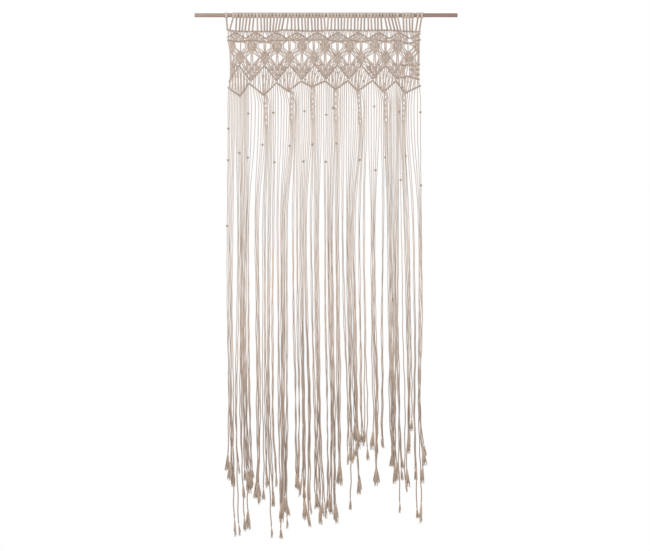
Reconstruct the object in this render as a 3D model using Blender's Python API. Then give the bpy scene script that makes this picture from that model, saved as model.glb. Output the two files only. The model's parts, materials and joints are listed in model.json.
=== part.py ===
"""A macrame curtain on its wooden rod, hanging as it does in use.

Cotton cords are looped over a round rod, knotted into an openwork band, and left to hang as
strings of uneven length.  Metres, +Z up, +X to the right, front towards -Y.  The origin is the
centre of the rod.
"""
import math

import bpy
import bmesh
from mathutils.geometry import delaunay_2d_cdt

# ---- driving sizes ------------------------------------------------------------------------
CORD = 0.003                     # diameter of one cotton cord
GAP = 0.0003                     # what is left between two pieces that touch

ROD_LENGTH = 1.0
ROD_RADIUS = 0.0075
ROD_SIDES = 32

HEADING_LEFT, HEADING_RIGHT = -0.380, 0.368      # outer edges of the loops on the rod

LOOP_INNER = ROD_RADIUS + GAP    # the loops round the rod
LOOP_OUTER = LOOP_INNER + CORD
LOOP_STEPS, HOLE_STEPS = 20, 24  # facets of the loops' outside, and round the rod's hole
CLOTH_Y = CORD / 2 - LOOP_OUTER  # the plane in which everything below the rod hangs

# ---- heights, from the rod's centre down --------------------------------------------------
BAR_TOP = -0.0597                # top edge of the first knotted bar
UPPER_BAR = -0.0627
UPPER_ROW = -0.1209              # middles of the two rows of diamonds
LOWER_ROW = -0.1619
HITCH_HALF = 0.0035              # half the height of a line of hitches

# ---- thicknesses --------------------------------------------------------------------------
HITCH_THICK = 0.0068             # a cord wrapped round another
KNOT_THICK = 0.0078              # a square knot
BRUSH_THICK = 0.0070             # the frayed end of a string

# The net from left to right: its side edges, and between them its columns of diamonds, which
# belong to the lower and to the upper row in turn.  Each row gives the number of cords up to
# there, x of the column, height of the second bar there, and the corners of line A and line B,
# the two zigzag lines of hitches under the diamonds, as (x, z).
NET = (
    (0, -0.3780, -0.0955, (-0.3690, -0.2551), (-0.3728, -0.2757)),
    (8, -0.3275, -0.1007, (-0.3314, -0.1904), (-0.3268, -0.3082)),
    (15, -0.2823, -0.0954, (-0.2858, -0.2512), (-0.2926, -0.2596)),
    (22, -0.2325, -0.1030, (-0.2333, -0.1904), (-0.2356, -0.3052)),
    (29, -0.1858, -0.0961, (-0.1881, -0.2500), (-0.1889, -0.2573)),
    (36, -0.1390, -0.0954, (-0.1391, -0.1889), (-0.1440, -0.2899)),
    (43, -0.0920, -0.0942, (-0.0927, -0.2445), (-0.0958, -0.2519)),
    (50, -0.0465, -0.0950, (-0.0426, -0.1873), (-0.0536, -0.2732)),
    (57, -0.0034, -0.0927, (-0.0015, -0.2440), (-0.0038, -0.2512)),
    (64, 0.0433, -0.1007, (0.0429, -0.1896), (0.0365, -0.2831)),
    (71, 0.0889, -0.0954, (0.0870, -0.2425), (0.0821, -0.2497)),
    (78, 0.1330, -0.1015, (0.1341, -0.1904), (0.1208, -0.2892)),
    (85, 0.1847, -0.0927, (0.1771, -0.2420), (0.1771, -0.2489)),
    (92, 0.2257, -0.1015, (0.2265, -0.1919), (0.2189, -0.2930)),
    (99, 0.2713, -0.0954, (0.2668, -0.2425), (0.2660, -0.2497)),
    (106, 0.3139, -0.1083, (0.3070, -0.2325), (0.2987, -0.2975)),
    (114, 0.3580, -0.0942, (0.3553, -0.2455), (0.3591, -0.2683)),
)
SIDE_EDGES = (                   # height, and the band's left and right edge there
    (-0.0800, -0.3770, 0.3575),
    (-0.1180, -0.3700, 0.3575),
    (-0.1870, -0.3640, 0.3555),
    (-0.2350, -0.3690, 0.3570),
)
EDGE_OUT = 0.0020                # the lines of hitches stand out this far at the side edges
EDGE_INSET = 0.0040              # and their crests begin this far inside the band's edge

WINDOW_INSET = 0.0160            # the net is thinnest this far inside the lines of hitches

DIAMOND_WIDE = 0.0215            # half sizes of a diamond
DIAMOND_HIGH = 0.0230
DIAMOND_CORNERS = (              # as shares of them: across, and up
    (-1, 0), (-0.85, -0.48), (-0.42, -1), (0.42, -1), (0.85, -0.48),
    (1, 0), (0.85, 0.48), (0.42, 1), (-0.42, 1), (-0.85, 0.48))
TRIANGLE_SHARE = 0.74            # a knotted triangle, beside the one between three corners
# Corners of half an eye.  Across: share of the eye's reach, and more; up from the middle of its
# row: share of its top, and more.
EYE_CORNERS = (
    (0.00, 0.0045, 1, 0.0000), (0.60, 0.0000, 1, -0.0010), (1.00, 0.0000, 0, 0.0040),
    (0.75, 0.0000, 0, -0.0070), (0.00, 0.0050, 0, -0.0155), (0.00, 0.0045, 0, -0.0040))
LOWER_EYE_TOP = 0.0155           # top of an eye of the lower row over the row's middle
UNDER_BAR = 0.0010               # an eye of the upper row stays this far under the second bar
EDGE_EYES = (-0.3580, 0.3465)    # x of the narrow eyes beside the half diamonds
EDGE_EYE_CORNERS = (             # corners of one: across and up
    (0.0, 0.0100), (0.0045, 0.0020), (0.0030, -0.0130), (-0.0030, -0.0130), (-0.0025, 0.0))
OUTER_CORD = 0.0245              # its outermost cord passes this far from its middle
RAISED = 0.82                    # share of a knotted field that stands up to its full thickness
LINE_B_CREST = 0.6               # height of line B's crest over its corners, in HITCH_HALF
HALF_DIAMONDS_TO = (-0.3385, 0.3290)    # where the half diamonds at the side edges end
TRIANGLE_TOP = -0.1904           # top corners of the knotted triangles above line A
LEVEL_LINE = (                   # short level line of hitches over the last triangle, (x, z)
    (0.2640, -0.1870), (0.2750, -0.1900), (0.3000, -0.1915), (0.3350, -0.1912),
    (0.3500, -0.1890))
EDGE_FIELDS = (                  # knotted fields at the two side edges, as corners (x, z)
    ((-0.3650, -0.1010), (-0.3480, -0.1010), (-0.3400, -0.1130), (-0.3400, -0.1290),
     (-0.3480, -0.1420), (-0.3650, -0.1420)),
    ((0.3530, -0.1010), (0.3400, -0.1010), (0.3305, -0.1130), (0.3305, -0.1290),
     (0.3400, -0.1420), (0.3530, -0.1420)),
    ((-0.3610, -0.1900), (-0.3410, -0.1900), (-0.3430, -0.2010), (-0.3610, -0.2320)),
    ((0.3130, -0.1965), (0.3515, -0.1965), (0.3515, -0.2370), (0.3130, -0.2265)),
)

# Wider gaps between the bare cords under the rod: left edge, width, top and bottom.
# The ones at the ends run up between the loops too, so the rod shows there.
UNDER_LOOPS, OVER_ROD = -0.0120, 0.0150
HEADING_GAPS = (
    ("a", -0.3700, 0.0090, OVER_ROD, -0.0300),
    ("b", -0.1600, 0.0130, UNDER_LOOPS, -0.0520),
    ("c", -0.0055, 0.0110, UNDER_LOOPS, -0.0520),
    ("d", 0.2785, 0.0090, OVER_ROD, -0.0520),
    ("e", 0.3345, 0.0100, OVER_ROD, -0.0520),
)

# Locks that the strings gather into, left to right: strings in it, its middle at the three
# heights of LOCK_HEIGHTS, from string to string at the lowest of them, and heights of its ends.
LOCK_HEIGHTS = (-0.720, -1.120, -1.558)
LOCKS = (
    (5, -0.364, -0.366, -0.361, 0.0045, (-1.739, -1.798, -1.984)),
    (2, -0.334, -0.336, -0.341, 0.0036, (-1.746, -1.982)),
    (2, -0.324, -0.325, -0.323, 0.0036, (-1.837, -1.963)),
    (6, -0.311, -0.313, -0.306, 0.0031, (-1.825, -1.963, -1.800)),
    (2, -0.294, -0.294, -0.290, 0.0032, (-1.800,)),
    (4, -0.262, -0.260, -0.257, 0.0038, (-1.862,)),
    (1, -0.239, -0.241, -0.240, 0.0038, (-1.847,)),
    (2, -0.232, -0.232, -0.229, 0.0036, (-1.800,)),
    (3, -0.215, -0.219, -0.216, 0.0036, (-1.990, -1.874)),
    (2, -0.200, -0.203, -0.200, 0.0036, (-1.796,)),
    (2, -0.184, -0.181, -0.178, 0.0036, (-1.995, -1.904)),
    (5, -0.163, -0.164, -0.164, 0.0030, (-1.933, -1.912)),
    (2, -0.147, -0.149, -0.149, 0.0036, (-1.954,)),
    (2, -0.125, -0.123, -0.114, 0.0034, (-1.802,)),
    (2, -0.110, -0.108, -0.102, 0.0034, (-1.808,)),
    (4, -0.093, -0.092, -0.085, 0.0034, (-1.842, -1.924)),
    (3, -0.078, -0.074, -0.063, 0.0034, (-1.948,)),
    (2, -0.057, -0.053, -0.042, 0.0036, (-1.880,)),
    (5, -0.036, -0.034, -0.027, 0.0034, (-1.939, -1.918)),
    (2, -0.004, -0.002, 0.005, 0.0026, (-1.888,)),
    (6, 0.015, 0.019, 0.026, 0.0031, (-1.902, -1.936)),
    (4, 0.042, 0.045, 0.049, 0.0032, (-1.792,)),
    (2, 0.062, 0.069, 0.084, 0.0034, (-1.712,)),
    (3, 0.082, 0.085, 0.096, 0.0034, (-1.883, -1.706)),
    (6, 0.101, 0.103, 0.116, 0.0036, (-1.682, -1.827)),
    (2, 0.127, 0.129, 0.136, 0.0036, (-1.642,)),
    (2, 0.144, 0.147, 0.155, 0.0036, (-1.697,)),
    (5, 0.179, 0.180, 0.191, 0.0034, (-1.673, -1.794)),
    (2, 0.217, 0.213, 0.212, 0.0036, (-1.648,)),
    (3, 0.236, 0.241, 0.241, 0.0034, (-1.628, -1.714)),
    (6, 0.251, 0.255, 0.257, 0.0031, (-1.777, -1.785)),
    (3, 0.271, 0.270, 0.279, 0.0032, (-1.895, -1.771)),
    (1, 0.285, 0.291, 0.300, 0.0036, (-1.815,)),
    (5, 0.303, 0.313, 0.317, 0.0036, (-1.800, -1.672, -1.585)),
    (2, 0.328, 0.337, 0.337, 0.0036, (-1.771, -1.917)),
    (4, 0.355, 0.359, 0.358, 0.0036, (-1.933, -1.786, -1.678)),
)
LOCK_TOP = 0.030                 # depth of the uncut strip under line B
LOCK_SPREAD = (1.0, 0.35, 0.15, 0.0)     # how spread the strings are at line B and LOCK_HEIGHTS
SECTIONS = (-0.500, -0.720, -0.920, -1.120, -1.340, -1.558)    # heights of a lock's sections
STRING_WIDTH = 0.0036            # of one string in a lock
PACKED = 1.3                     # how much thicker a lock is than its strings laid side by side
BRUSH_LENGTH = 0.045             # frayed length at the end of a string
BRUSH_SIDES = (0.04, 0.50, 0.96)         # a brush's left side, tip and right side in its share
BRUSH_FULL = 0.012               # a brush has its full width this far above its tip
NOTCH = 0.020                    # how far two ends of one lock are parted above their brushes
LOCK_CREST = 1.15                # the middle of a lock is thicker than its sides
SLIT = 0.0012                    # least width of the slits between locks

# Braided chains that hang from the valleys of line B: x at the top and at the foot, and height
# of the foot.  The first valley has none.
CHAINS = (
    (-0.2295, -0.2270, -0.426),
    (-0.1305, -0.1300, -0.405),
    (-0.0505, -0.0490, -0.402),
    (0.0372, 0.0380, -0.409),
    (0.1245, 0.1310, -0.418),
    (0.2265, 0.2287, -0.415),
    (0.2968, 0.2950, -0.409),
)
CHAIN_WIDTH = 0.0166
CHAIN_WAIST = 0.78               # width between two knots of a chain, as a share of it
CHAIN_KNOT = 0.0205              # from one square knot of a chain to the next
CHAIN_WAIST_THICK = 0.7          # and its thickness there, as a share of a knot's
CHAIN_CREST = 1.1                # the middle of a chain is thicker than its sides
CHAIN_WAY = 0.0120               # left whole under the foot of a chain

COTTON = (0.60, 0.47, 0.39)
BEECH = (0.46, 0.29, 0.21)


# ---- the cord work's own places -----------------------------------------------------------
def on_line_b(cord):
    """Where a cord crosses line B, as (x, z)."""
    for (first, *_, (x0, z0)), (last, *_, (x1, z1)) in zip(NET, NET[1:]):
        if cord <= last:
            t = (cord - first) / (last - first)
            return x0 + (x1 - x0) * t, z0 + (z1 - z0) * t


def foot_line():
    """Corners of line B from left to right, along its middle."""
    corners = [corner for *_, corner in NET]
    (left, left_z), (right, right_z) = corners[0], corners[-1]
    return [(left - EDGE_OUT, left_z)] + corners[1:-1] + [(right + EDGE_OUT, right_z)]


# ---- mesh tools ---------------------------------------------------------------------------
def material(name, colour, roughness):
    made = bpy.data.materials.new(name)
    made.use_nodes = True
    shader = made.node_tree.nodes["Principled BSDF"]
    shader.inputs["Base Color"].default_value = (*colour, 1.0)
    shader.inputs["Roughness"].default_value = roughness
    return made


def add_object(name, bm, mat):
    mesh = bpy.data.meshes.new(name)
    bm.to_mesh(mesh)
    bm.free()
    mesh.materials.append(mat)
    made = bpy.data.objects.new(name, mesh)
    bpy.context.collection.objects.link(made)
    return made


def inside(loop, x, z):
    """True where a point is inside a closed loop of corners."""
    hit = False
    for (x0, z0, _), (x1, z1, _) in zip(loop, loop[1:] + loop[:1]):
        if (z0 > z) != (z1 > z) and x < x0 + (x1 - x0) * (z - z0) / (z1 - z0):
            hit = not hit
    return hit


def plate(name, outline, holes, reliefs, mat):
    """A hanging plate: outline, holes and reliefs are lists of (x, z, thickness)."""
    corners, edges = [], []
    for line, closed in [(outline, True)] + [(hole, True) for hole in holes] + reliefs:
        first = len(corners)
        corners += line
        edges += [(first + i, first + i + 1) for i in range(len(line) - 1)]
        if closed:
            edges.append((first + len(line) - 1, first))
    flat, _, faces, origins, _, _ = delaunay_2d_cdt(
        [(x, z) for x, z, _ in corners], edges, [], 0, 1e-6)
    thick = [max((corners[i][2] for i in origin), default=CORD) for origin in origins]
    bm = bmesh.new()
    front = [bm.verts.new((p.x, CLOTH_Y - t / 2, p.y)) for p, t in zip(flat, thick)]
    back = [bm.verts.new((p.x, CLOTH_Y + t / 2, p.y)) for p, t in zip(flat, thick)]
    kept = set()
    for a, b, c in faces:
        x = (flat[a].x + flat[b].x + flat[c].x) / 3
        z = (flat[a].y + flat[b].y + flat[c].y) / 3
        if inside(outline, x, z) and not any(inside(hole, x, z) for hole in holes):
            bm.faces.new((front[a], front[b], front[c]))
            bm.faces.new((back[c], back[b], back[a]))
            kept.update(((a, b), (b, c), (c, a)))
    for a, b in kept:
        if (b, a) not in kept:
            bm.faces.new((front[b], front[a], back[a], back[b]))
    bmesh.ops.delete(bm, geom=[v for v in bm.verts if not v.link_faces], context="VERTS")
    return add_object(name, bm, mat)


def swept(name, section, hole, x0, x1, mat):
    """A (y, z) section with a hole in it, drawn out along X."""
    corners = section + hole
    count = len(section)
    edges = [(i, (i + 1) % count) for i in range(count)]
    edges += [(count + i, count + (i + 1) % len(hole)) for i in range(len(hole))]
    flat, _, faces, _, _, _ = delaunay_2d_cdt(corners, edges, [], 0, 1e-6)
    outer = [(y, z, 0) for y, z in section]
    inner = [(y, z, 0) for y, z in hole]
    bm = bmesh.new()
    left = [bm.verts.new((x0, p.x, p.y)) for p in flat]
    right = [bm.verts.new((x1, p.x, p.y)) for p in flat]
    kept = set()
    for a, b, c in faces:
        y = (flat[a].x + flat[b].x + flat[c].x) / 3
        z = (flat[a].y + flat[b].y + flat[c].y) / 3
        if inside(outer, y, z) and not inside(inner, y, z):
            bm.faces.new((right[a], right[b], right[c]))
            bm.faces.new((left[c], left[b], left[a]))
            kept.update(((a, b), (b, c), (c, a)))
    for a, b in kept:
        if (b, a) not in kept:
            bm.faces.new((right[b], right[a], left[a], left[b]))
    return add_object(name, bm, mat)


# ---- the pieces ---------------------------------------------------------------------------
def rod(mat):
    bm = bmesh.new()
    bmesh.ops.create_cone(bm, cap_ends=True, segments=ROD_SIDES, radius1=ROD_RADIUS,
                          radius2=ROD_RADIUS, depth=ROD_LENGTH)
    made = add_object("rod", bm, mat)
    made.rotation_euler = (0, math.pi / 2, 0)
    made.data.shade_smooth()
    made.data.set_sharp_from_angle(angle=math.radians(40))
    return made


def circle(radius, first, last, steps):
    """Points on a circle in (y, z); angles are in degrees from +Y towards +Z."""
    angles = [math.radians(first + (last - first) * i / steps) for i in range(steps + 1)]
    return [(radius * math.cos(a), radius * math.sin(a)) for a in angles]


def heading(mat):
    """The loops round the rod and the bare cords that run down from them to the first bar."""
    under = math.degrees(math.asin((LOOP_OUTER - CORD) / LOOP_OUTER))  # where the cords leave
    section = circle(LOOP_OUTER, -90 - under, 180, LOOP_STEPS)
    section += [(-LOOP_OUTER, BAR_TOP + GAP), (CORD - LOOP_OUTER, BAR_TOP + GAP)]
    hole = circle(LOOP_INNER, 0, 360 - 360 / HOLE_STEPS, HOLE_STEPS - 1)
    made = swept("heading_loops", section, hole, HEADING_LEFT, HEADING_RIGHT, mat)
    for label, left, width, top, bottom in HEADING_GAPS:
        bm = bmesh.new()
        bmesh.ops.create_cube(bm, size=1)
        bmesh.ops.scale(bm, vec=(width, 4 * LOOP_OUTER, top - bottom), verts=bm.verts)
        cutter = add_object("heading_gap_" + label, bm, mat)
        cutter.location = (left + width / 2, 0, (top + bottom) / 2)
        cutter.hide_render = True
        cutter.display_type = "WIRE"
        cut = made.modifiers.new(cutter.name, "BOOLEAN")
        cut.object = cutter
        cut.operation = "DIFFERENCE"
    return made


def field(corners):
    """Relief of a knotted field: its outline at the net's thickness, and a raised one inside."""
    x = sum(corner[0] for corner in corners) / len(corners)
    z = sum(corner[1] for corner in corners) / len(corners)
    inner = [(x + (a - x) * RAISED, z + (b - z) * RAISED, KNOT_THICK) for a, b in corners]
    return [([(a, b, CORD) for a, b in corners], True), (inner, True)]


def diamond(x, z):
    """Corners of a diamond, which knots in rows make blunt."""
    return [(x + across * DIAMOND_WIDE, z + up * DIAMOND_HIGH)
            for across, up in DIAMOND_CORNERS]


def triangle(left, foot, right):
    """Corners of the knotted triangle between two peaks of line A and the valley between."""
    corners = [(left[0], TRIANGLE_TOP), foot, (right[0], TRIANGLE_TOP)]
    x = sum(corner[0] for corner in corners) / 3
    z = sum(corner[1] for corner in corners) / 3
    return [(x + (a - x) * TRIANGLE_SHARE, z + (b - z) * TRIANGLE_SHARE) for a, b in corners]


def eye(x, z, side, reach, top):
    """Half of the eye between two diamonds, beside the pair of cords that hangs through it."""
    return [(x + side * (share * reach + across), z + high * top + up, CORD)
            for share, across, high, up in EYE_CORNERS]


def edge_eye(x, z, side):
    """The narrow eye beside a half diamond, at the band's side edge."""
    return [(x + side * across, z + up, CORD) for across, up in EDGE_EYE_CORNERS]


def eyes():
    """The eyes of both rows, each as two halves, and the narrow ones at the side edges."""
    holes = []
    for number, (_, x, bar, *_) in enumerate(NET[1:-1], start=1):
        upper = number % 2 == 1       # an eye of the upper row is over a lower diamond
        z = UPPER_ROW if upper else LOWER_ROW
        top = bar - HITCH_HALF - UNDER_BAR - z if upper else LOWER_EYE_TOP
        for side in (-1, 1):
            reach = abs(NET[number + side][1] - x) - OUTER_CORD - CORD / 2
            if upper and number + side in (0, len(NET) - 1):
                reach = abs(HALF_DIAMONDS_TO[side > 0] - x) - CORD / 2
            holes.append(eye(x, z, side, reach, top))
    return holes + [edge_eye(x, LOWER_ROW, side) for x, side in zip(EDGE_EYES, (1, -1))]


def band_outline():
    """Outline of the knotted band, anticlockwise from the left end of line B."""
    left, right = NET[0][1] - EDGE_OUT, NET[-1][1] + EDGE_OUT
    outline = [(x, z - HITCH_HALF, CORD) for x, z in foot_line()]
    outline += [(x, z, CORD) for z, _, x in reversed(SIDE_EDGES[1:])]
    outline += [(right, NET[-1][2], HITCH_THICK), (SIDE_EDGES[0][2], SIDE_EDGES[0][0], CORD),
                (right, UPPER_BAR, HITCH_THICK), (right, BAR_TOP, CORD)]
    outline += [(left, BAR_TOP, CORD), (left, UPPER_BAR, HITCH_THICK),
                (SIDE_EDGES[0][1], SIDE_EDGES[0][0], CORD), (left, NET[0][2], HITCH_THICK)]
    return outline + [(x, z, CORD) for z, x, _ in SIDE_EDGES[1:]]


def hitch_lines():
    """Crests of the lines of hitches, as lists of (x, z)."""
    left, right = NET[0][1] + EDGE_INSET, NET[-1][1] - EDGE_INSET
    line_a = [corner for *_, corner, _ in NET]
    line_a[0] = (line_a[0][0] + EDGE_INSET, line_a[0][1] + EDGE_INSET)
    line_a[-1] = (line_a[-1][0] - EDGE_INSET, line_a[-1][1])
    bar_2 = [(x, z) for _, x, z, *_ in NET[1:-1]]
    return [
        [(left, UPPER_BAR), (right, UPPER_BAR)],
        [(left, NET[0][2])] + bar_2 + [(right, NET[-1][2])],
        line_a,
        [(x, z + HITCH_HALF * LINE_B_CREST) for x, z in foot_line()[1:-1]],
        list(LEVEL_LINE),
    ]


def bare_lines():
    """Lines along the middle of the bare cords between lines of hitches, as lists of (x, z)."""
    level = UPPER_BAR - WINDOW_INSET
    lines = [[(NET[0][1] + EDGE_INSET, level), (NET[-1][1] - EDGE_INSET, level)]]
    for *_, (x_a, z_a), (x_b, z_b) in NET[1:-1:2]:
        lines.append([(x_a, z_a - WINDOW_INSET), (x_b, z_b + WINDOW_INSET)])
    return lines


def knotted_band(mat):
    """The openwork between the bare cords and the strings."""
    reliefs = [([(x, z, CORD) for x, z in line], False) for line in bare_lines()]
    line_a = [corner for *_, corner, _ in NET]
    for number, (_, x, *_) in enumerate(NET[1:-1], start=1):
        lower = number % 2 == 1
        reliefs += field(diamond(x, LOWER_ROW if lower else UPPER_ROW))
        if not lower:
            reliefs += field(triangle(*line_a[number - 1:number + 2]))
    for corners in EDGE_FIELDS:
        reliefs += field(corners)
    reliefs += [([(x, z, HITCH_THICK) for x, z in line], False) for line in hitch_lines()]
    return plate("knotted_band", band_outline(), eyes(), reliefs, mat)


def through(stations, z):
    """Value at a height on a smooth curve through stations of (z, value), from the top down."""
    last = len(stations) - 1
    if z <= stations[last][0]:
        return stations[last][1]
    at = next(i for i in range(last) if z >= stations[i + 1][0])
    slopes = []
    for i in (at, at + 1):
        (z0, v0), (z1, v1) = stations[max(i - 1, 0)], stations[min(i + 1, last)]
        slopes.append((v1 - v0) / (z1 - z0))
    (z0, v0), (z1, v1) = stations[at], stations[at + 1]
    span, t = z1 - z0, (z - z0) / (z1 - z0)
    return ((2 * t ** 3 - 3 * t ** 2 + 1) * v0 + (t ** 3 - 2 * t ** 2 + t) * span * slopes[0]
            + (3 * t ** 2 - 2 * t ** 3) * v1 + (t ** 3 - t ** 2) * span * slopes[1])


def locks_at(z):
    """Left and right edge of every lock at a height; where two would meet, a slit is left."""
    edges, first = [], 0
    for count, *middles, apart, _ in LOCKS:
        (left, top), (right, _) = on_line_b(first), on_line_b(first + count)
        heights = (top, *LOCK_HEIGHTS)
        middle = through(list(zip(heights, ((left + right) / 2, *middles))), z)
        spread = through(list(zip(heights, LOCK_SPREAD)), z)
        apart += ((right - left) / count - apart) * spread
        half = ((count - 1) * apart + STRING_WIDTH) / 2
        edges.append([middle - half, middle + half])
        first += count
    for here, there in zip(edges, edges[1:]):
        if here[1] + SLIT > there[0]:
            shared = (here[1] + there[0]) / 2
            here[1], there[0] = shared - SLIT / 2, shared + SLIT / 2
    return edges


def slit_top(cord, x_low):
    """Top of the slit between two locks; beside a chain it starts under the chain's foot."""
    x, z = on_line_b(cord)
    top = z - LOCK_TOP
    for chain_x, foot_x, foot in CHAINS:
        if min(abs(x - chain_x), abs(x_low - foot_x)) < CHAIN_WIDTH:
            top = foot - CHAIN_WAY
    return x + (x_low - x) * (z - top) / (z - SECTIONS[0]), top, CORD


def lock_ends(left, right, thick, ends):
    """Outline of a lock's brushes from left to right: each narrows to the tip of its string."""
    points = []
    share = (right - left) / len(ends)
    for index, end in enumerate(ends):
        start = left + share * index
        first, middle, last = (start + share * side for side in BRUSH_SIDES)
        points += [(first, end + BRUSH_LENGTH, thick), (first, end + BRUSH_FULL, BRUSH_THICK),
                   (middle, end, CORD),
                   (last, end + BRUSH_FULL, BRUSH_THICK), (last, end + BRUSH_LENGTH, thick)]
        if index < len(ends) - 1:
            parted = max(end, ends[index + 1]) + BRUSH_LENGTH + NOTCH
            points.append((start + share, parted, thick))
    return points


def string_fringe(mat):
    """One comb: a zigzag strip under line B, and a tooth for each lock of strings."""
    sections = [locks_at(z) for z in SECTIONS]
    outline, reliefs, first = [], [], 0
    for number, (count, *_, ends) in enumerate(LOCKS):
        rows = []
        for z, edges in zip(SECTIONS, sections):
            left, right = edges[number]
            rows.append((left, right, z, CORD * max(1.0, PACKED * count * CORD / (right - left))))
        left, right, _, thick = rows[-1]
        right_top = rows[0][1]
        outline += [(left, z, thick) for left, _, z, thick in rows]
        outline += lock_ends(left, right, thick, ends)
        outline += [(right, z, thick) for _, right, z, thick in reversed(rows)]
        first += count
        if number < len(LOCKS) - 1:
            outline.append(slit_top(first, (right_top + sections[0][number + 1][0]) / 2))
        reliefs.append(([((left + right) / 2, z, thick * LOCK_CREST)
                         for left, right, z, thick in rows[:-1]], False))
    outline += [(x, z - HITCH_HALF - GAP, CORD) for x, z in reversed(foot_line())]
    slots = [chain_slot(number) for number in range(len(CHAINS))]
    return plate("string_fringe", outline, slots, reliefs, mat)


def chain_top(number):
    """Height just under line B at the valley that a chain hangs from."""
    *_, (_, valley) = NET[2 * number + 3]
    return valley - 2 * HITCH_HALF


def chain_outline(number):
    """Outline of a chain of square knots, pinched between its knots."""
    x, foot_x, foot = CHAINS[number]
    top = chain_top(number) - GAP
    knots = round((top - foot) / CHAIN_KNOT)
    sides = {-1: [], 1: []}
    for step in range(2 * knots + 1):
        t = step / (2 * knots)
        knot = step % 2 == 1
        wide = CHAIN_WIDTH / 2 * (1.0 if knot else CHAIN_WAIST)
        thick = KNOT_THICK * (1.0 if knot else CHAIN_WAIST_THICK)
        for side in sides:
            sides[side].append((x + (foot_x - x) * t + side * wide, top + (foot - top) * t, thick))
    return sides[-1] + sides[1][::-1]


def chain_slot(number):
    """Plain slot in the fringe that a chain hangs in."""
    x, foot_x, foot = CHAINS[number]
    half = CHAIN_WIDTH / 2 + GAP
    top = chain_top(number)
    return [(x - half, top, CORD), (foot_x - half, foot - GAP, CORD),
            (foot_x + half, foot - GAP, CORD), (x + half, top, CORD)]


def chain(number, mat):
    outline = chain_outline(number)
    count = len(outline) // 2
    crest = [((x + opposite) / 2, z, thick * CHAIN_CREST)
             for (x, z, thick), (opposite, *_) in list(zip(outline, outline[::-1]))[1:count - 1]]
    return plate("chain_%d" % (number + 1), outline, [], [(crest, False)], mat)


def main():
    for leftover in list(bpy.context.scene.objects):
        bpy.data.objects.remove(leftover, do_unlink=True)
    cotton = material("natural_cotton_cord", COTTON, 0.9)
    beech = material("oiled_beech", BEECH, 0.55)
    rod(beech)
    heading(cotton)
    knotted_band(cotton)
    string_fringe(cotton)
    for number in range(len(CHAINS)):
        chain(number, cotton)


main()
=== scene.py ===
"""A macrame curtain hanging from a wooden rod: its looks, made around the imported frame.

The curtain is made as a knotter makes it.  57 cotton cords are folded over the rod with lark's
heads, which gives 114 working cords.  They are hitched onto level and zigzag bars, tied into
diamonds and triangles of square knots, hitched again onto two zigzag lines, and left to hang as
strings with frayed ends.  Metres, +Z up, +X to the right, front towards -Y.
"""
import json
import math

import bmesh
import bpy
import numpy as np
from bpy.props import FloatProperty, FloatVectorProperty, IntProperty, PointerProperty
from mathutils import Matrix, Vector

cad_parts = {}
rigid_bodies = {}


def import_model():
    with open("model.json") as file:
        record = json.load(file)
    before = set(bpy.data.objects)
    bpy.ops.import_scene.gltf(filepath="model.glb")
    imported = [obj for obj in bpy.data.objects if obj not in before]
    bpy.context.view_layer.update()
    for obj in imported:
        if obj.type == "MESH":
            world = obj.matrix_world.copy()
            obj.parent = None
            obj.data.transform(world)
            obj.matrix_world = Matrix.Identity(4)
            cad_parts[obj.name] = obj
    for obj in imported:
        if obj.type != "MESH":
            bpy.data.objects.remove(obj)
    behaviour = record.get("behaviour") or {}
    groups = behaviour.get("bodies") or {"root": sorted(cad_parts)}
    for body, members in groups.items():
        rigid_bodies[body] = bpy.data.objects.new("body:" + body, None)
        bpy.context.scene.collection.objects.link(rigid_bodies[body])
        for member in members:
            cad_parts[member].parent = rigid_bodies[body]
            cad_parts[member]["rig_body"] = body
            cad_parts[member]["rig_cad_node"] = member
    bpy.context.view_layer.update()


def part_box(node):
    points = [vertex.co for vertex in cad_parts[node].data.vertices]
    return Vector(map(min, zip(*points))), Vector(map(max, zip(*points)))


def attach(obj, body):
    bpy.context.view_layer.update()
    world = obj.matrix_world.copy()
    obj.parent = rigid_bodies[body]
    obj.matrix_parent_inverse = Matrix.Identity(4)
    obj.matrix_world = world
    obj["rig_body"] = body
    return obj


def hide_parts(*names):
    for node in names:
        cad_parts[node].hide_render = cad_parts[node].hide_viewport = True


bl_info = {
    "name": "Macrame curtain",
    "version": (1, 0, 0),
    "blender": (4, 5, 0),
    "location": "3D View > Sidebar > Macrame",
    "description": "Makes a macrame curtain on its rod, cord by cord",
    "category": "Add Mesh",
}

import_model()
MM = 0.001

# ---- places taken from the frame ----------------------------------------------------------
ROD_LOW, ROD_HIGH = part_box("rod")
LOOPS_LOW, LOOPS_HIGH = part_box("heading_loops")
BAND_LOW, BAND_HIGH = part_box("knotted_band")
ROD_RADIUS = (ROD_HIGH.z - ROD_LOW.z) / 2
CLOTH_Y = (BAND_LOW.y + BAND_HIGH.y) / 2      # the plane in which the cords hang
LEFT, RIGHT = LOOPS_LOW.x, LOOPS_HIGH.x
BAR_TOP = BAND_HIGH.z

# ---- how the curtain is planned -----------------------------------------------------------
CORDS = 114                      # two from each of the 57 loops
PITCH = (RIGHT - LEFT) / CORDS   # from one cord to the next along a bar
KNOT_WIDTH = 15.0 * MM           # a square knot before it is scaled
NET_TONES = (-0.8, -0.1)         # of the cords in the net, duller to lighter
# Cords that aren't pulled tight are fuller: depth under the rod, and by how much there.
SLACK = ((0.095, 0.5 * MM), (0.105, 0.8 * MM), (0.180, 0.8 * MM), (0.200, 0.5 * MM))

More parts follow.
